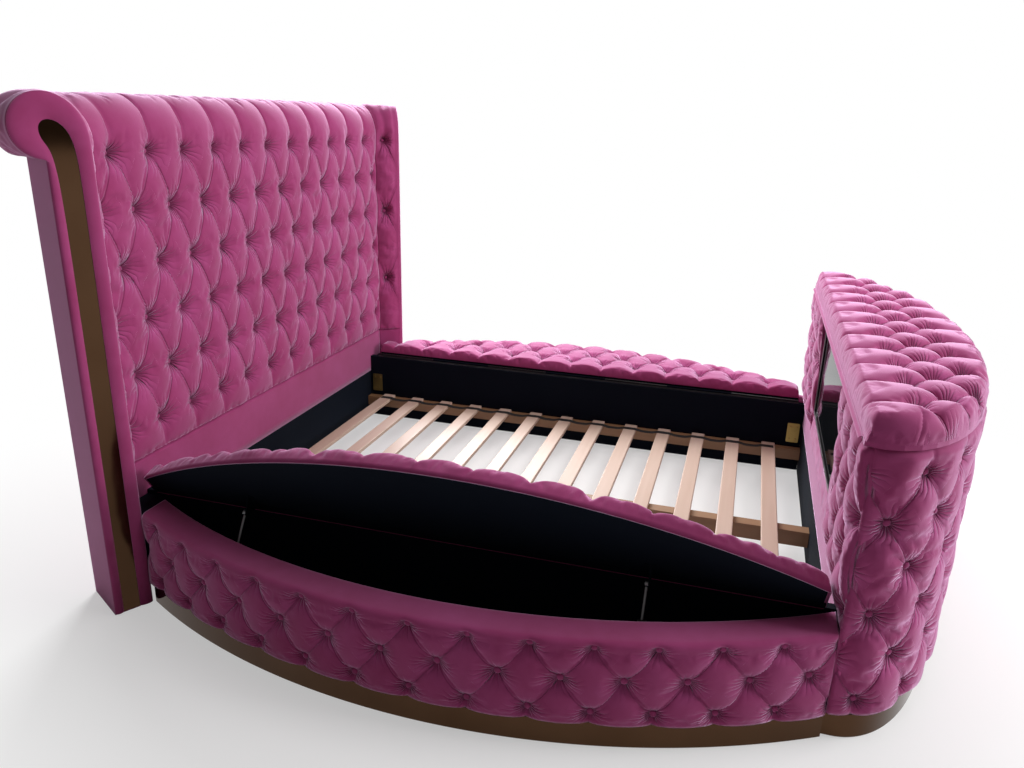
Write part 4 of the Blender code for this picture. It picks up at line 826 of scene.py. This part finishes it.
def outer_grid():
    alongs = even(lengths[0] - foot_over, lengths[-1] + foot_over, foot_pitch / 27)
    offset = alongs - foot_pitch / 2
    past = np.abs(alongs) > lengths[-1]
    last = foot_top - (foot_rows - 1) * foot_row

    def at_height(height):
        up = np.full_like(offset, height - foot_top)
        swell, near, folds = tufting(offset, up, foot_pitch, foot_row, 7.0, rows=foot_rows)
        stand = foot_puff * (swell - 1.0)
        if height > foot_top:
            fade = 1.0 - 0.5 * ease(height, foot_top, foot_high)
            stand = fade * foot_puff * (pleating(offset, foot_pitch) - 1.0)
        if height < last:
            stand = foot_puff * (pleating(offset - foot_pitch / 2, foot_pitch) - 1.0)
        gather = (1.0 - ease(height, foot_top, foot_top + 0.03)) * ease(height, last - 0.03, last)
        lip = 0.008 * (ease(0.085 - height, 0.0, 0.015) + ease(height, 0.760, foot_high))
        lip = lip + 0.009 * (1.0 - rounded(lengths[-1] + foot_over - np.abs(alongs), 0.010))
        front = foot_place(alongs, -stand + foot_sink * near + lip, height)
        back = foot_place(alongs, np.where(past, 0.012, board_inset), height)
        return front, back, folds, np.full_like(alongs, gather)

    grids = fill_grid(even(plinth_top, foot_high, foot_row / 13), at_height)
    return *grids, None, 0.0, np.abs(alongs) > lengths[-1] - 0.006


cushion = close_pad("foot_velvet", *outer_grid())
declare(cushion, "base", ["foot_outer_pad"])
print("footboard's curve is", round(2 * lengths[-1], 3), "m long")

# %% [markdown]
# The footboard's inner face has a window for the television. The velvet is tufted in a
# wide border at each side of the window and plain below it. One grid covers the face, and
# its lines are pushed aside where the window and the side boxes' rims are.

# %% Footboard's face velvet
face_pitch, face_button = 0.1464, 0.5124
face_puff, face_sink = 0.024, 0.010
window_edge, face_edge, box_edge = 0.411, 0.895, 0.7665
sill, face_low, rim_clear, face_high = 0.392, 0.206, 0.304, 0.767
face_back, face_round = 0.0177, 0.010


def face_grid():
    side_columns = np.concatenate([
        even(window_edge, box_edge, face_pitch / 24), even(box_edge + 0.002, face_edge, face_pitch / 24)])
    middle = even(-window_edge + 0.001, window_edge - 0.001, 0.03)
    xs = np.concatenate([-side_columns[::-1], middle, side_columns])
    heights = np.concatenate([even(face_low, 0.30, 0.012)[:-1], even(0.30, face_high, foot_row / 14)])
    x, z = np.meshgrid(xs, heights, indexing="ij")
    offset = np.abs(x) - face_button
    swell, near, folds = tufting(offset, z - foot_top, face_pitch, foot_row, 9.0, rows=4)
    top = z > foot_top
    swell = np.where(top, pleating(offset, face_pitch), swell)
    beside = np.abs(x) > window_edge - 0.0005
    fade = ease(z, 0.300, 0.385) * beside
    stand = 0.002 + fade * (face_puff * swell - 0.002 - face_sink * near)
    stand = stand - 0.010 * (1.0 - rounded(face_high - z, 0.008))
    stand = stand - 0.008 * (1.0 - rounded(face_edge - np.abs(x), face_round)) * (z > rim_clear)
    at_window = rounded(np.abs(x) - window_edge + 0.0015, 0.018)
    stand = np.where(beside & (z > sill), stand * at_window, stand)
    z = np.where(beside, z, np.minimum(z, sill))
    z = np.where(np.abs(x) > box_edge + 0.001, np.maximum(z, rim_clear), z)
    gather = fade * (1.0 - ease(z, foot_top, foot_top + 0.03))
    return points_at(x, foot_y + stand, z), points_at(x, foot_y - face_back, z), folds, gather


cushion = close_pad("face_velvet", *face_grid(), plain_below=0.315)
declare(cushion, "base", ["foot_face_pad"])

# %% [markdown]
# The footboard's lid carries the fullest cushion. It keeps the oval's outline, and three
# rows of buttons are pulled deep, so the cloth between them stands up in long lobes.

# %% Footboard's lid cushion
cap_base, cap_crest, cap_puff, cap_sink = 0.7848, 0.8503, 0.024, 0.018
cap_pitch, cap_row, cap_first = 0.1565, 0.080, -0.091
cap_back, cap_round = 0.020, 0.030


def cap_edge_distance(x, y):
    """How far a point lies inside the oval edge."""
    behind = np.minimum(y - foot_front, 0.0)
    spread = np.hypot(x / foot_half, behind / foot_bow)
    slope = np.hypot(x / foot_half**2, behind / foot_bow**2) / np.maximum(spread, 1e-6)
    return (1.0 - spread) / np.maximum(slope, 1e-6)


def cap_swell(x, y):
    swell, near, folds = tufting(x, y - cap_first, cap_pitch, cap_row, 11.0, rows=3, wide=0.022)
    stand = cap_puff * (swell - 1.0)
    pleat = cap_puff * (pleating(x, cap_pitch) - 1.0)
    cap_last = cap_first - 2 * cap_row
    outside = (y > cap_first) | (y < cap_last)
    behind, ahead = 1.0 - 0.35 * ease(y, cap_first, cap_back), 1.0 - 0.5 * ease(-y, -cap_last, 0.36)
    fade = np.where(y > cap_first, behind, ahead)
    gather = (1.0 - ease(y, cap_first, cap_first + 0.03)) * ease(y, cap_last - 0.03, cap_last)
    return np.where(outside, pleat * fade, stand) - cap_sink * near, folds, gather


def cap_grid():
    alongs = even(lengths[0], lengths[-1], 0.0062)
    outline = foot_place(alongs, 0.0, 0.0)
    front_edge = outline[:, 1] - foot_y
    edge = 0.08 * edge_steps(1.0, 8)
    shares = np.concatenate([edge, even(0.08, 0.92, 0.84 / 46)[1:-1], 1.0 - edge[::-1]])
    x = np.repeat(outline[:, 0][:, None], len(shares), axis=1)
    y = cap_back + shares[None, :] * (front_edge[:, None] - cap_back)
    stand, folds, gather = cap_swell(x, y)
    edges = rounded(cap_edge_distance(x, y), cap_round) * rounded(cap_back - y, 0.020)
    crown = 0.006 * np.sin(np.pi * shares)[None, :] - 0.003
    top = cap_base + (cap_crest - cap_base + stand + crown) * edges
    return points_at(x, foot_y + y, top), points_at(x, foot_y + y, cap_base - 0.0001), folds, gather


cushion = close_pad("foot_lid_velvet", *cap_grid())
declare(cushion, "foot_lid", ["foot_lid_pad"])

# %% [markdown]
# So far the swelling is drawn by formula. Now every pad is run as cloth for twenty steps:
# the velvet is cut a little larger than the shape under it, air pressure pushes it out, and
# it is held at its edges, at its back and at every button. It settles into uneven swells
# with slack between the buttons. No point may move further than a few millimetres, and the
# result is written back to the mesh, so that nothing live stays on the piece.

# %% Cloth simulation
cloth_steps, cloth_limit = 20, 0.006
cloth_settings = {
    "quality": 4, "mass": 0.15, "air_damping": 2.0, "tension_stiffness": 15.0, "compression_stiffness": 15.0,
    "shear_stiffness": 5.0, "bending_stiffness": 0.05, "vertex_group_mass": "held", "shrink_min": -0.035,
    "use_pressure": True, "uniform_pressure_force": 4.0,
}


def dress_as_cloth(item):
    held = np.empty(len(item.data.vertices))
    item.data.attributes["held"].data.foreach_get("value", held)
    group = item.vertex_groups.new(name="held")
    levels = np.round(np.clip(held, 0.0, 1.0) * 10).astype(int)
    for level in range(1, 11):
        group.add(np.nonzero(levels == level)[0].tolist(), level / 10.0, "REPLACE")
    cloth = item.modifiers.new("cloth", "CLOTH")
    for key, value in cloth_settings.items():
        setattr(cloth.settings, key, value)
    cloth.settings.effector_weights.gravity = 0.0
    cloth.collision_settings.use_collision = False
    cloth.collision_settings.use_self_collision = False
    cloth.point_cache.frame_start, cloth.point_cache.frame_end = 1, cloth_steps


def read_points(mesh):
    points = np.empty(len(mesh.vertices) * 3)
    mesh.vertices.foreach_get("co", points)
    return points.reshape(-1, 3)


def settle(item):
    """Write the simulated shape back, with each point's way kept within the limit."""
    drawn = read_points(item.data)
    seen = item.evaluated_get(bpy.context.evaluated_depsgraph_get())
    moved = read_points(seen.data) - drawn
    item.modifiers.clear()
    item.vertex_groups.clear()
    far = np.linalg.norm(moved, axis=1, keepdims=True)
    moved = moved * np.minimum(1.0, cloth_limit / np.maximum(far, 1e-9))
    item.data.vertices.foreach_set("co", (drawn + moved).reshape(-1))
    item.data.update()
    ways = np.linalg.norm(moved, axis=1)
    return float(ways.mean()), float(ways.max())


for item in pads:
    dress_as_cloth(item)
for step in range(1, cloth_steps + 1):
    bpy.context.scene.frame_set(step)
results = [(item.name, settle(item)) for item in pads]
bpy.context.scene.frame_set(1)
for name, (mean, most) in results:
    print(name, "moved", round(mean * 1000, 2), "mm on average, at most", round(most * 1000, 2))

for item in pads:
    item.data.attributes.remove(item.data.attributes["held"])

# %% [markdown]
# Many parts are one section carried along a path: plinths, welts and webbing. The first
# helper closes a grid of points (stations along the path, points round the section), and
# the second makes such a grid from a section and a rule for the path.

# %% Swept pieces
def sweep(name, stations, finish, closed_ends=True):
    along, around = stations.shape[:2]
    index = np.arange(along * around).reshape(along, around).tolist()
    faces = []
    for j in range(around):
        after = (j + 1) % around
        faces += [(here[j], there[j], there[after], here[after]) for here, there in zip(index, index[1:])]
    if closed_ends:
        faces += [index[0], index[-1][::-1]]
    mesh = bpy.data.meshes.new(name)
    mesh.from_pydata(stations.reshape(-1, 3).tolist(), [], faces)
    with editing(mesh) as work:
        bmesh.ops.recalc_face_normals(work, faces=work.faces)
        for edge in work.edges:
            edge.smooth = len(edge.link_faces) == 2 and edge.calc_face_angle() < math.radians(35.0)
        for face in work.faces:
            face.smooth = True
    return make_object(mesh, finish)


def carry(section, place):
    """Stations: place gives the points along the path for one point of the section."""
    return np.stack([place(*point) for point in section], axis=1)


# %% [markdown]
# The plinths are strips of bronze mirror bent round the same curves as the boxes. A faceted
# mirror would break up its reflections, so they are made again with short steps.

# %% Mirror plinths
def plinth_section(outer):
    inner, height, cut = 0.081, 0.070, 0.0015
    front = [(outer, cut), (outer, height - cut), (outer + cut, height)]
    return front + [(inner, height), (inner, 0.0), (outer + cut, 0.0)]


arcs = even(*arc_ends(side_start + 0.002, side_end - 0.003), 0.012)
for side, word in both_sides:
    stations = carry(plinth_section(0.012), lambda inset, height: bow_place(side, arcs, inset, height))
    strip = sweep("side_plinth_mirror_" + word, stations, mirror)
    declare(strip, "base", ["side_plinth_" + word])
alongs = even(lengths[0] - 0.0225, lengths[-1] + 0.0225, 0.012)
stations = carry(plinth_section(0.020), lambda inset, height: foot_place(alongs, inset, height))
strip = sweep("foot_plinth_mirror", stations, mirror)
declare(strip, "base", ["foot_plinth"])
print("three mirror plinths")

# %% [markdown]
# Every covered button is the same small dome, so Geometry Nodes place them. A mesh of bare
# points carries the direction that each button faces, and the tree puts a flattened ball on
# every point, turns it, makes it real and gives it the velvet. The slats use the same start
# and end of a tree, and the same way to run it.

# %% Tree for the covered buttons
def new_tree(name, inputs):
    tree = bpy.data.node_groups.new(name, "GeometryNodeTree")
    tree.interface.new_socket("Geometry", in_out="INPUT", socket_type="NodeSocketGeometry")
    for label, kind, value in inputs:
        socket = tree.interface.new_socket(label, in_out="INPUT", socket_type="NodeSocket" + kind)
        if value is not None:
            socket.default_value = value
    tree.interface.new_socket("Geometry", in_out="OUTPUT", socket_type="NodeSocketGeometry")
    return tree, add_node(tree, "NodeGroupInput").outputs


def finish_tree(tree, points, instance, finish, rotation=(0.0, 0.0, 0.0)):
    """Put the instance on the points, make it real, give it its finish and hand it out."""
    placed = add_node(tree, "GeometryNodeInstanceOnPoints", {
        "Points": points, "Instance": instance, "Rotation": rotation})
    real = add_node(tree, "GeometryNodeRealizeInstances", {0: placed.outputs[0]})
    coat = add_node(tree, "GeometryNodeSetMaterial", {0: real.outputs[0], "Material": finish})
    add_node(tree, "NodeGroupOutput", {0: coat.outputs[0]})
    return tree


def button_tree():
    tree, given = new_tree("covered_buttons", [
        ("Radius", "Float", 0.011), ("Height", "Float", 0.006), ("Finish", "Material", None)])
    ball = add_node(tree, "GeometryNodeMeshUVSphere", {"Segments": 14, "Rings": 8, "Radius": 1.0})
    radius, height = given["Radius"], given["Height"]
    size = add_node(tree, "ShaderNodeCombineXYZ", {0: radius, 1: radius, 2: height})
    flat = add_node(tree, "GeometryNodeTransform", {"Geometry": ball.outputs[0], "Scale": size.outputs[0]})
    soft = add_node(tree, "GeometryNodeSetShadeSmooth", {0: flat.outputs[0]})
    facing = add_node(tree, "GeometryNodeInputNamedAttribute", {"Name": "facing"}, data_type="FLOAT_VECTOR")
    facing = facing.outputs["Attribute"]
    turn = add_node(tree, "FunctionNodeAlignRotationToVector", {"Vector": facing}, axis="Z")
    return finish_tree(tree, given["Geometry"], soft.outputs[0], given["Finish"], turn.outputs[0])


def grow(name, points, directions, tree, values):
    """Run a tree on points that each face a direction, and keep the result as a plain mesh."""
    mesh = bpy.data.meshes.new(name)
    mesh.from_pydata([tuple(point) for point in points], [], [])
    facing = mesh.attributes.new("facing", "FLOAT_VECTOR", "POINT")
    facing.data.foreach_set("vector", np.array(directions, dtype=np.float32).reshape(-1))
    seed = make_object(mesh)
    modifier = seed.modifiers.new("grow", "NODES")
    modifier.node_group = tree
    for item in tree.interface.items_tree:
        if item.item_type == "SOCKET" and item.in_out == "INPUT" and item.name in values:
            modifier[item.identifier] = values[item.name]
    seed.update_tag()
    bpy.context.view_layer.update()
    ready = seed.evaluated_get(bpy.context.evaluated_depsgraph_get())
    real = bpy.data.meshes.new_from_object(ready)
    seed.modifiers.remove(modifier)
    seed.data = real
    return seed


buttons = button_tree()
print("tree for the buttons:", len(buttons.nodes), "nodes")

# %% [markdown]
# The buttons' places come from the same spacing as the tufting. They sit at the bottom of
# the dimples, so only the crown of each one shows.

# %% Covered buttons
def place_buttons(name, body, pairs):
    """pairs holds a point at the bottom of each dimple and a point straight out from it."""
    points, out = np.swapaxes(np.array(pairs), 0, 1)
    outward = (out - points) / np.linalg.norm(out - points, axis=-1, keepdims=True)
    made = grow(name, points, outward, buttons, {"Radius": 0.0098, "Height": 0.0055, "Finish": velvet})
    declare(made, body)
    print(name, len(pairs), "buttons")


def staggered(rows, pitch, low, high, start=0.0):
    """Each button's row, and its place in it: whole steps in even rows and half steps in odd ones."""
    for row in range(rows):
        shift = start + (pitch / 2 if row % 2 else 0.0)
        for place in (shift + k * pitch for k in range(-20, 21)):
            if low < place < high:
                yield row, place


deep = (head_sink - 0.003, -0.05)
spans = [(middle_place, -half_width, half_width)]
spans += [(wing_place(side), half_width, half_width + wing_length) for side, _ in both_sides]
place_buttons("headboard_buttons", "base", [
    [place(along, out, head_top - row * head_row) for out in deep] for place, low, high in spans
    for row, along in staggered(6, head_pitch, low + 0.015, high - 0.015)])

deep = (side_sink + side_puff - 0.004, -0.05)
place_buttons("side_buttons", "base", [
    [bow_place(side, arc, inset, side_top - row * side_row) for inset in deep] for side, _ in both_sides
    for row, arc in staggered(3, side_pitch, -0.97, 0.93)])

deep = (foot_puff + foot_sink - 0.004, -0.05)
low, high = lengths[0] + 0.02, lengths[-1] - 0.02
place_buttons("foot_buttons", "base", [
    [foot_place(along, inset, foot_top - row * foot_row) for inset in deep]
    for row, along in staggered(foot_rows, foot_pitch, low, high, foot_pitch / 2)])

low, high = window_edge + 0.012, face_edge - 0.014
place_buttons("face_buttons", "base", [
    [(side * x, foot_y + out, foot_top - row * foot_row) for out in (-face_sink + 0.003, 0.05)]
    for side, _ in both_sides for row, x in staggered(4, face_pitch, low, high, face_button)])

rises = (lid_crest - lid_puff - lid_sink + 0.003, 0.12)
for side, word in both_sides:
    spots = [(lid_first_row + row * lid_row, y) for row, y in
             staggered(3, lid_pitch, lid_start + 0.02, lid_end - 0.02, lid_first)]
    place_buttons("lid_buttons_" + word, word + "_lid", [
        [lid_place(side, lid_open[word], y, reach, rise) for rise in rises]
        for reach, y in spots if reach <= lid_edge(y) - 0.026])

spots = [(x, cap_first - row * cap_row) for row, x in staggered(3, cap_pitch, -foot_half, foot_half)]
place_buttons("foot_lid_buttons", "foot_lid", [
    [(x, foot_y + y, height) for height in (cap_crest - cap_puff - cap_sink + 0.004, 1.0)]
    for x, y in spots if cap_edge_distance(x, y) >= 0.030])

# %% [markdown]
# The ends of the wings show a bronze strip framed in velvet. The frame is one padded band
# between the strip's outline and the outline of the roll, puffed a little and rounded over
# at its outer edge. Matching points on the two outlines are joined by curved ribs.

# %% Velvet round the wing inlays
def trim_corners(points):
    """Each corner is cut at a quarter of its sides, which rounds the line off."""
    near, far = points[:-1] * 0.75 + points[1:] * 0.25, points[:-1] * 0.25 + points[1:] * 0.75
    middle = np.stack([near, far], axis=1).reshape(-1, points.shape[1])
    return np.concatenate([points[:1], middle, points[-1:]])


def wing_frame_outlines():
    """Matching points, as out and height, round the outer and the inner edge."""
    outer, inner = [], []
    for height in even(wing_bottom, shoulder, 0.05):
        outer.append((0.0, height))
        inner.append((0.0372 - 0.0025 * height / shoulder, min(height, 1.338)))
    curl = [
        (0.0345, 1.338), (0.0372, 1.352), (0.0400, 1.365), (0.0465, 1.384), (0.0545, 1.398), (0.0750, 1.407)]
    for index, angle in enumerate(even(0.0, math.pi / 2, math.radians(15.0))[1:]):
        outer.append(head_point("bend", angle, 0.0))
        inner.append(curl[min(index, 5)])
    back = [
        (0.0930, 1.409), (0.1120, 1.402), (0.1260, 1.376), (0.1150, 1.344), (0.1000, 1.331), (0.0910, 1.323)]
    spread = np.linspace(0.0, 1.0, len(back))
    for angle in even(0.0, roll_turn, math.radians(12.0))[1:]:
        outer.append(head_point("roll", angle, 0.0))
        inner.append([np.interp(angle / roll_turn, spread, line) for line in zip(*back)])
    wing_back = 0.109
    outer.append((wing_back, 1.300))
    inner.append((0.084, 1.304))
    for height in np.linspace(1.28, wing_bottom, 26):
        outer.append((wing_back, height))
        inner.append((0.0848, height))
    outer, inner = np.array(outer), np.array(inner)
    for _ in range(14):
        inner[1:-1] = 0.25 * inner[:-2] + 0.5 * inner[1:-1] + 0.25 * inner[2:]
    for _ in range(2):
        outer, inner = trim_corners(outer), trim_corners(inner)
    return outer, inner


def wing_frame(side, word):
    outer, inner = wing_frame_outlines()
    shares = np.array([0.0, 0.0, 0.12, 0.3, 0.5, 0.7, 0.86, 0.95, 1.0, 1.0])
    lifts = np.array([0.0002, 0.0040, 0.0064, 0.0082, 0.0090, 0.0086, 0.0068, 0.0045, 0.0018, 0.0002])
    flat = outer[None, :, :] + (1.0 - shares)[:, None, None] * (inner - outer)[None, :, :]
    past = wing_length + lifts[:, None] + np.zeros(len(outer))[None, :]
    stations = wing_end(side, past, flat[..., 0], flat[..., 1])
    band = sweep("wing_frame_" + word, np.swapaxes(stations, 0, 1), velvet)
    for polygon in band.data.polygons:
        polygon.use_smooth = True
    declare(band, "base")
    depths = np.array([0.0003, 0.0012, 0.0015])[:, None] + np.zeros(len(inner))[None, :]
    inside = inner + np.zeros((3, 1, 2))
    stations = wing_end(side, wing_length + depths, inside[..., 0], inside[..., 1])
    strip = sweep("wing_mirror_" + word, stations, mirror)
    declare(strip, "base", ["wing_inlay_" + word])


for side, word in both_sides:
    wing_frame(side, word)

# %% [markdown]
# The headboard's board is covered in the same velvet at the back, plain and pulled tight,
# and so is the board under the footboard's cushion. Their shapes are right for that.

# %% Back of the headboard, and the board under the footboard's cushion
for node in ("headboard_core", "foot_lid_board"):
    for slot_item in frame["nodes"][node].material_slots:
        slot_item.material = velvet
    print(node, "is covered in plain velvet")

# %% [markdown]
# Sprung slats are thirteen equal strips of birch. Geometry Nodes lay them out: a line of
# points at the slat spacing, one strip with rounded edges on each, made real at the end.
# Every slat gets its own shade, because the grain is read from the place in the bed.

# %% Slats
def rounded_box(name, low, high, radius, along=None, finish=None):
    """A box with rounded edges: all of them, or only the four that run along one axis."""
    work = bmesh.new()
    bmesh.ops.create_cube(work, size=1.0)
    for vert in work.verts:
        vert.co = Vector([low[k] + (vert.co[k] + 0.5) * (high[k] - low[k]) for k in range(3)])
    edges = [edge for edge in work.edges
             if along is None or abs((edge.verts[0].co - edge.verts[1].co)[along]) > 1e-6]
    bmesh.ops.bevel(work, geom=edges, offset=radius, segments=3, profile=0.5, affect="EDGES")
    mesh = bpy.data.meshes.new(name)
    work.to_mesh(mesh)
    work.free()
    return make_object(mesh, finish)


def row_tree():
    tree, given = new_tree("row_of_bars", [
        ("Bar", "Object", None), ("Count", "Int", 13), ("Step", "Vector", None), ("First", "Vector", None),
        ("Finish", "Material", None)])
    line = add_node(tree, "GeometryNodeMeshLine", {
        "Count": given["Count"], "Start Location": given["First"], "Offset": given["Step"]})
    shape = add_node(tree, "GeometryNodeObjectInfo", {"Object": given["Bar"]})
    return finish_tree(tree, line.outputs[0], shape.outputs["Geometry"], given["Finish"])


slat_step, slat_first, slat_middle = 0.148, foot_y + 0.133, 0.1129
slat_half = np.array((0.752, 0.0275, 0.0079))
slat = rounded_box("slat_pattern", -slat_half, slat_half, 0.0035)
first = (0.0, slat_first, slat_middle)
slats = grow("slats", [first], [(0, 0, 1)], row_tree(), {
    "Bar": slat, "Count": 13, "Step": (0.0, slat_step, 0.0), "First": first, "Finish": slat_birch})
bpy.data.objects.remove(slat)
for polygon in slats.data.polygons:
    polygon.use_smooth = False
declare(slats, "base", [f"slat_{index:02d}" for index in range(1, 14)])
print("slats:", len(slats.data.polygons), "faces")

# %% [markdown]
# A black tape runs over the slats near each end and keeps them apart. It is a flat strap,
# so it is modelled directly: it lies on each slat and sags a little between two of them.

# %% Webbing tapes
tape_x, tape_height, tape_half_width = 0.700, 0.1209, 0.0125
ys = even(foot_y + 0.112, foot_y + 1.930, 0.0074)
sag = 0.0065 * ease(np.abs(np.sin(np.pi * (ys - slat_first) / slat_step)), 0.45, 1.0)
tape_section = [(-tape_half_width, 0.0002), (-tape_half_width, 0.0014)]
tape_section += [(tape_half_width, 0.0014), (tape_half_width, 0.0002)]
for side, word in both_sides:
    stations = carry(tape_section, lambda across, up: points_at(
        side * tape_x + across, ys, tape_height + up - sag))
    tape = sweep("webbing_" + word, stations, webbing_black)
    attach(tape, "base")
print("two webbing tapes")

# %% [markdown]
# Pressed plates, yellow with zinc, hold the rails to the boards at the corners of the well.
# Each is a thin plate with rounded corners and four round-headed screws.

# %% Corner plates and their screws
plate_face, plate_back = 0.7679, 0.7697
screw_points, screw_facings = [], []
for side, word in both_sides:
    for end, y in (("foot", foot_y + 0.012), ("head", head_y - 0.062)):
        inner, outer = sorted((side * plate_face, side * plate_back))
        plate = rounded_box(
            f"corner_plate_{end}_{word}", (inner, y, 0.126), (outer, y + 0.050, 0.212), 0.005, 0, yellow_zinc)
        declare(plate, "base")
        for dy in (0.012, 0.038):
            for height in (0.142, 0.196):
                screw_points.append((side * plate_face, y + dy, height))
                screw_facings.append((-side, 0.0, 0.0))
screws = grow("corner_screws", screw_points, screw_facings, buttons, {
    "Radius": 0.0042, "Height": 0.0018, "Finish": yellow_zinc})
declare(screws, "base")
print("corner plates: 4, screws:", len(screw_points))

# %% [markdown]
# A thin roll of the same velvet covers the gap along each side lid's hinge. It is what
# shows as a fine pink line when the lid is up.

# %% Hinge welts
welt_x, welt_z = 0.7967, 0.2976
ys = even(lid_start + 0.002, lid_end - 0.002, 0.02)
welt_section = [(0.0016 * math.cos(t), 0.0020 * math.sin(t)) for t in np.linspace(0.0, 2 * math.pi, 9)[:-1]]
for side, word in both_sides:
    stations = carry(welt_section, lambda out, up: points_at(side * (welt_x + out), foot_y + ys, welt_z + up))
    welt = sweep("hinge_welt_" + word, stations, velvet)
    declare(welt, "base")
print("two hinge welts")

# %% [markdown]
# A flap of velvet lies over the long hinge of the footboard's lid and turns with it.

# %% Velvet flap
hinge_line_y, hinge_line_z = foot_y + 0.0245, 0.7755
flap_inside, flap_outside, flap_half = 0.0053, 0.0064, 0.862
turns_over = np.radians(np.linspace(2.0, 124.0, 15))
flap_section = [(flap_inside, angle) for angle in turns_over]
flap_section += [(flap_outside, angle) for angle in turns_over[::-1]]
xs = even(-flap_half, flap_half, 0.02)
stations = carry(flap_section, lambda radius, angle: points_at(
    xs, hinge_line_y + radius * math.cos(angle), hinge_line_z + radius * math.sin(angle)))
flap = sweep("foot_lid_flap", stations, velvet)
declare(flap, "foot_lid")
print("flap over the footboard's hinge")

# %% [markdown]
# A narrow steel trim runs round the television, just in front of its black case.

# %% Television trim
def screen_trim():
    case_low, case_high = np.array(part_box("tv_housing"))[:2]
    half, low, high, wide = case_high[0] - 0.0015, case_low[2] + 0.0015, case_high[2] - 0.0015, 0.0085
    front = case_high[1] + 0.0002
    print("the television's case runs from", case_low.round(4), "to", case_high.round(4))
    corners = [(-half, low), (half, low), (half, high), (-half, high)]
    inward = [(1, 1), (-1, 1), (-1, -1), (1, -1)]
    section = [
        (0.0, 0.0), (0.0, 0.0018), (0.0015, 0.0028), (wide - 0.0015, 0.0028), (wide, 0.0018), (wide, 0.0)]
    points = [[(x + dx * step, front + rise, z + dz * step) for step, rise in section]
              for (x, z), (dx, dz) in zip(corners, inward)]
    trim = sweep("tv_trim", np.array(points + points[:1]), zinc, closed_ends=False)
    with editing(trim.data) as work:
        bmesh.ops.remove_doubles(work, verts=work.verts, dist=0.00001)
        bmesh.ops.recalc_face_normals(work, faces=work.faces)
    declare(trim, "base")


screen_trim()
print("television trim")

# %% [markdown]
# The floor is plain and pale. It keeps the bed's shadow close by and fades to clean white
# further out. Three large lamps give soft light, most of it from beyond the far side and
# above, so that the near side lies in its own shade as it does in the picture.

# %% Floor, light and surroundings
def make_floor():
    work = bmesh.new()
    bmesh.ops.create_circle(work, cap_ends=True, segments=96, radius=30.0)
    mesh = bpy.data.meshes.new("studio_floor")
    work.to_mesh(mesh)
    work.free()
    made, tree, shader = start_material("pale_floor")
    feed(tree, shader, {"Base Color": (0.86, 0.86, 0.86, 1.0), "Roughness": 0.9, "Specular IOR Level": 0.1})
    place = add_node(tree, "ShaderNodeTexCoord").outputs["Object"]
    span = add_node(tree, "ShaderNodeVectorMath", {0: place}, operation="LENGTH").outputs["Value"]
    far_off = plus(tree, times(tree, minus(tree, span, 1.5), 0.6, True), 0.45, True)
    path = add_node(tree, "ShaderNodeLightPath").outputs
    seen = plus(tree, path["Is Camera Ray"], path["Is Glossy Ray"], True)
    glow = add_node(tree, "ShaderNodeEmission", {"Strength": 1.0}).outputs[0]
    faded = {0: times(tree, far_off, seen), 1: shader.outputs[0], 2: glow}
    mixed = add_node(tree, "ShaderNodeMixShader", faded)
    feed(tree, tree.nodes["Material Output"], {0: mixed.outputs[0]})
    floor = make_object(mesh, made)
    floor.location.z = -0.001


def make_surroundings(ambient):
    world = bpy.data.worlds.new("white_room")
    bpy.context.scene.world = world
    world.use_nodes = True
    tree = world.node_tree
    warm = {"Color": (1.0, 0.93, 0.90, 1.0), "Strength": ambient}
    room = feed(tree, tree.nodes["Background"], warm).outputs[0]
    white = add_node(tree, "ShaderNodeBackground", {"Color": (1.0, 1.0, 1.0, 1.0)}).outputs[0]
    to_camera = add_node(tree, "ShaderNodeLightPath").outputs["Is Camera Ray"]
    mixed = add_node(tree, "ShaderNodeMixShader", {0: to_camera, 1: room, 2: white})
    feed(tree, tree.nodes["World Output"], {0: mixed.outputs[0]})


def soft_lamp(name, place, target, size, power):
    data = bpy.data.lights.new(name, "AREA")
    data.shape = "RECTANGLE"
    data.size, data.size_y = size
    data.energy = power
    lamp = bpy.data.objects.new(name, data)
    bpy.context.scene.collection.objects.link(lamp)
    place, target = Vector(place), Vector(target)
    turn = (target - place).to_track_quat("-Z", "Y").to_matrix().to_4x4()
    lamp.matrix_world = Matrix.Translation(place) @ turn


make_floor()
make_surroundings(0.12)
soft_lamp("far_side_window", (3.2, 1.9, 2.5), (0.0, -0.5, 0.4), (2.6, 2.2), 330.0)
soft_lamp("ceiling", (0.4, -1.2, 4.0), (0.0, 0.3, 0.6), (3.0, 3.0), 80.0)
soft_lamp("end_window", (0.3, -4.4, 2.2), (0.0, 0.0, 0.5), (2.4, 1.8), 175.0)
print("floor, surroundings and three lamps")
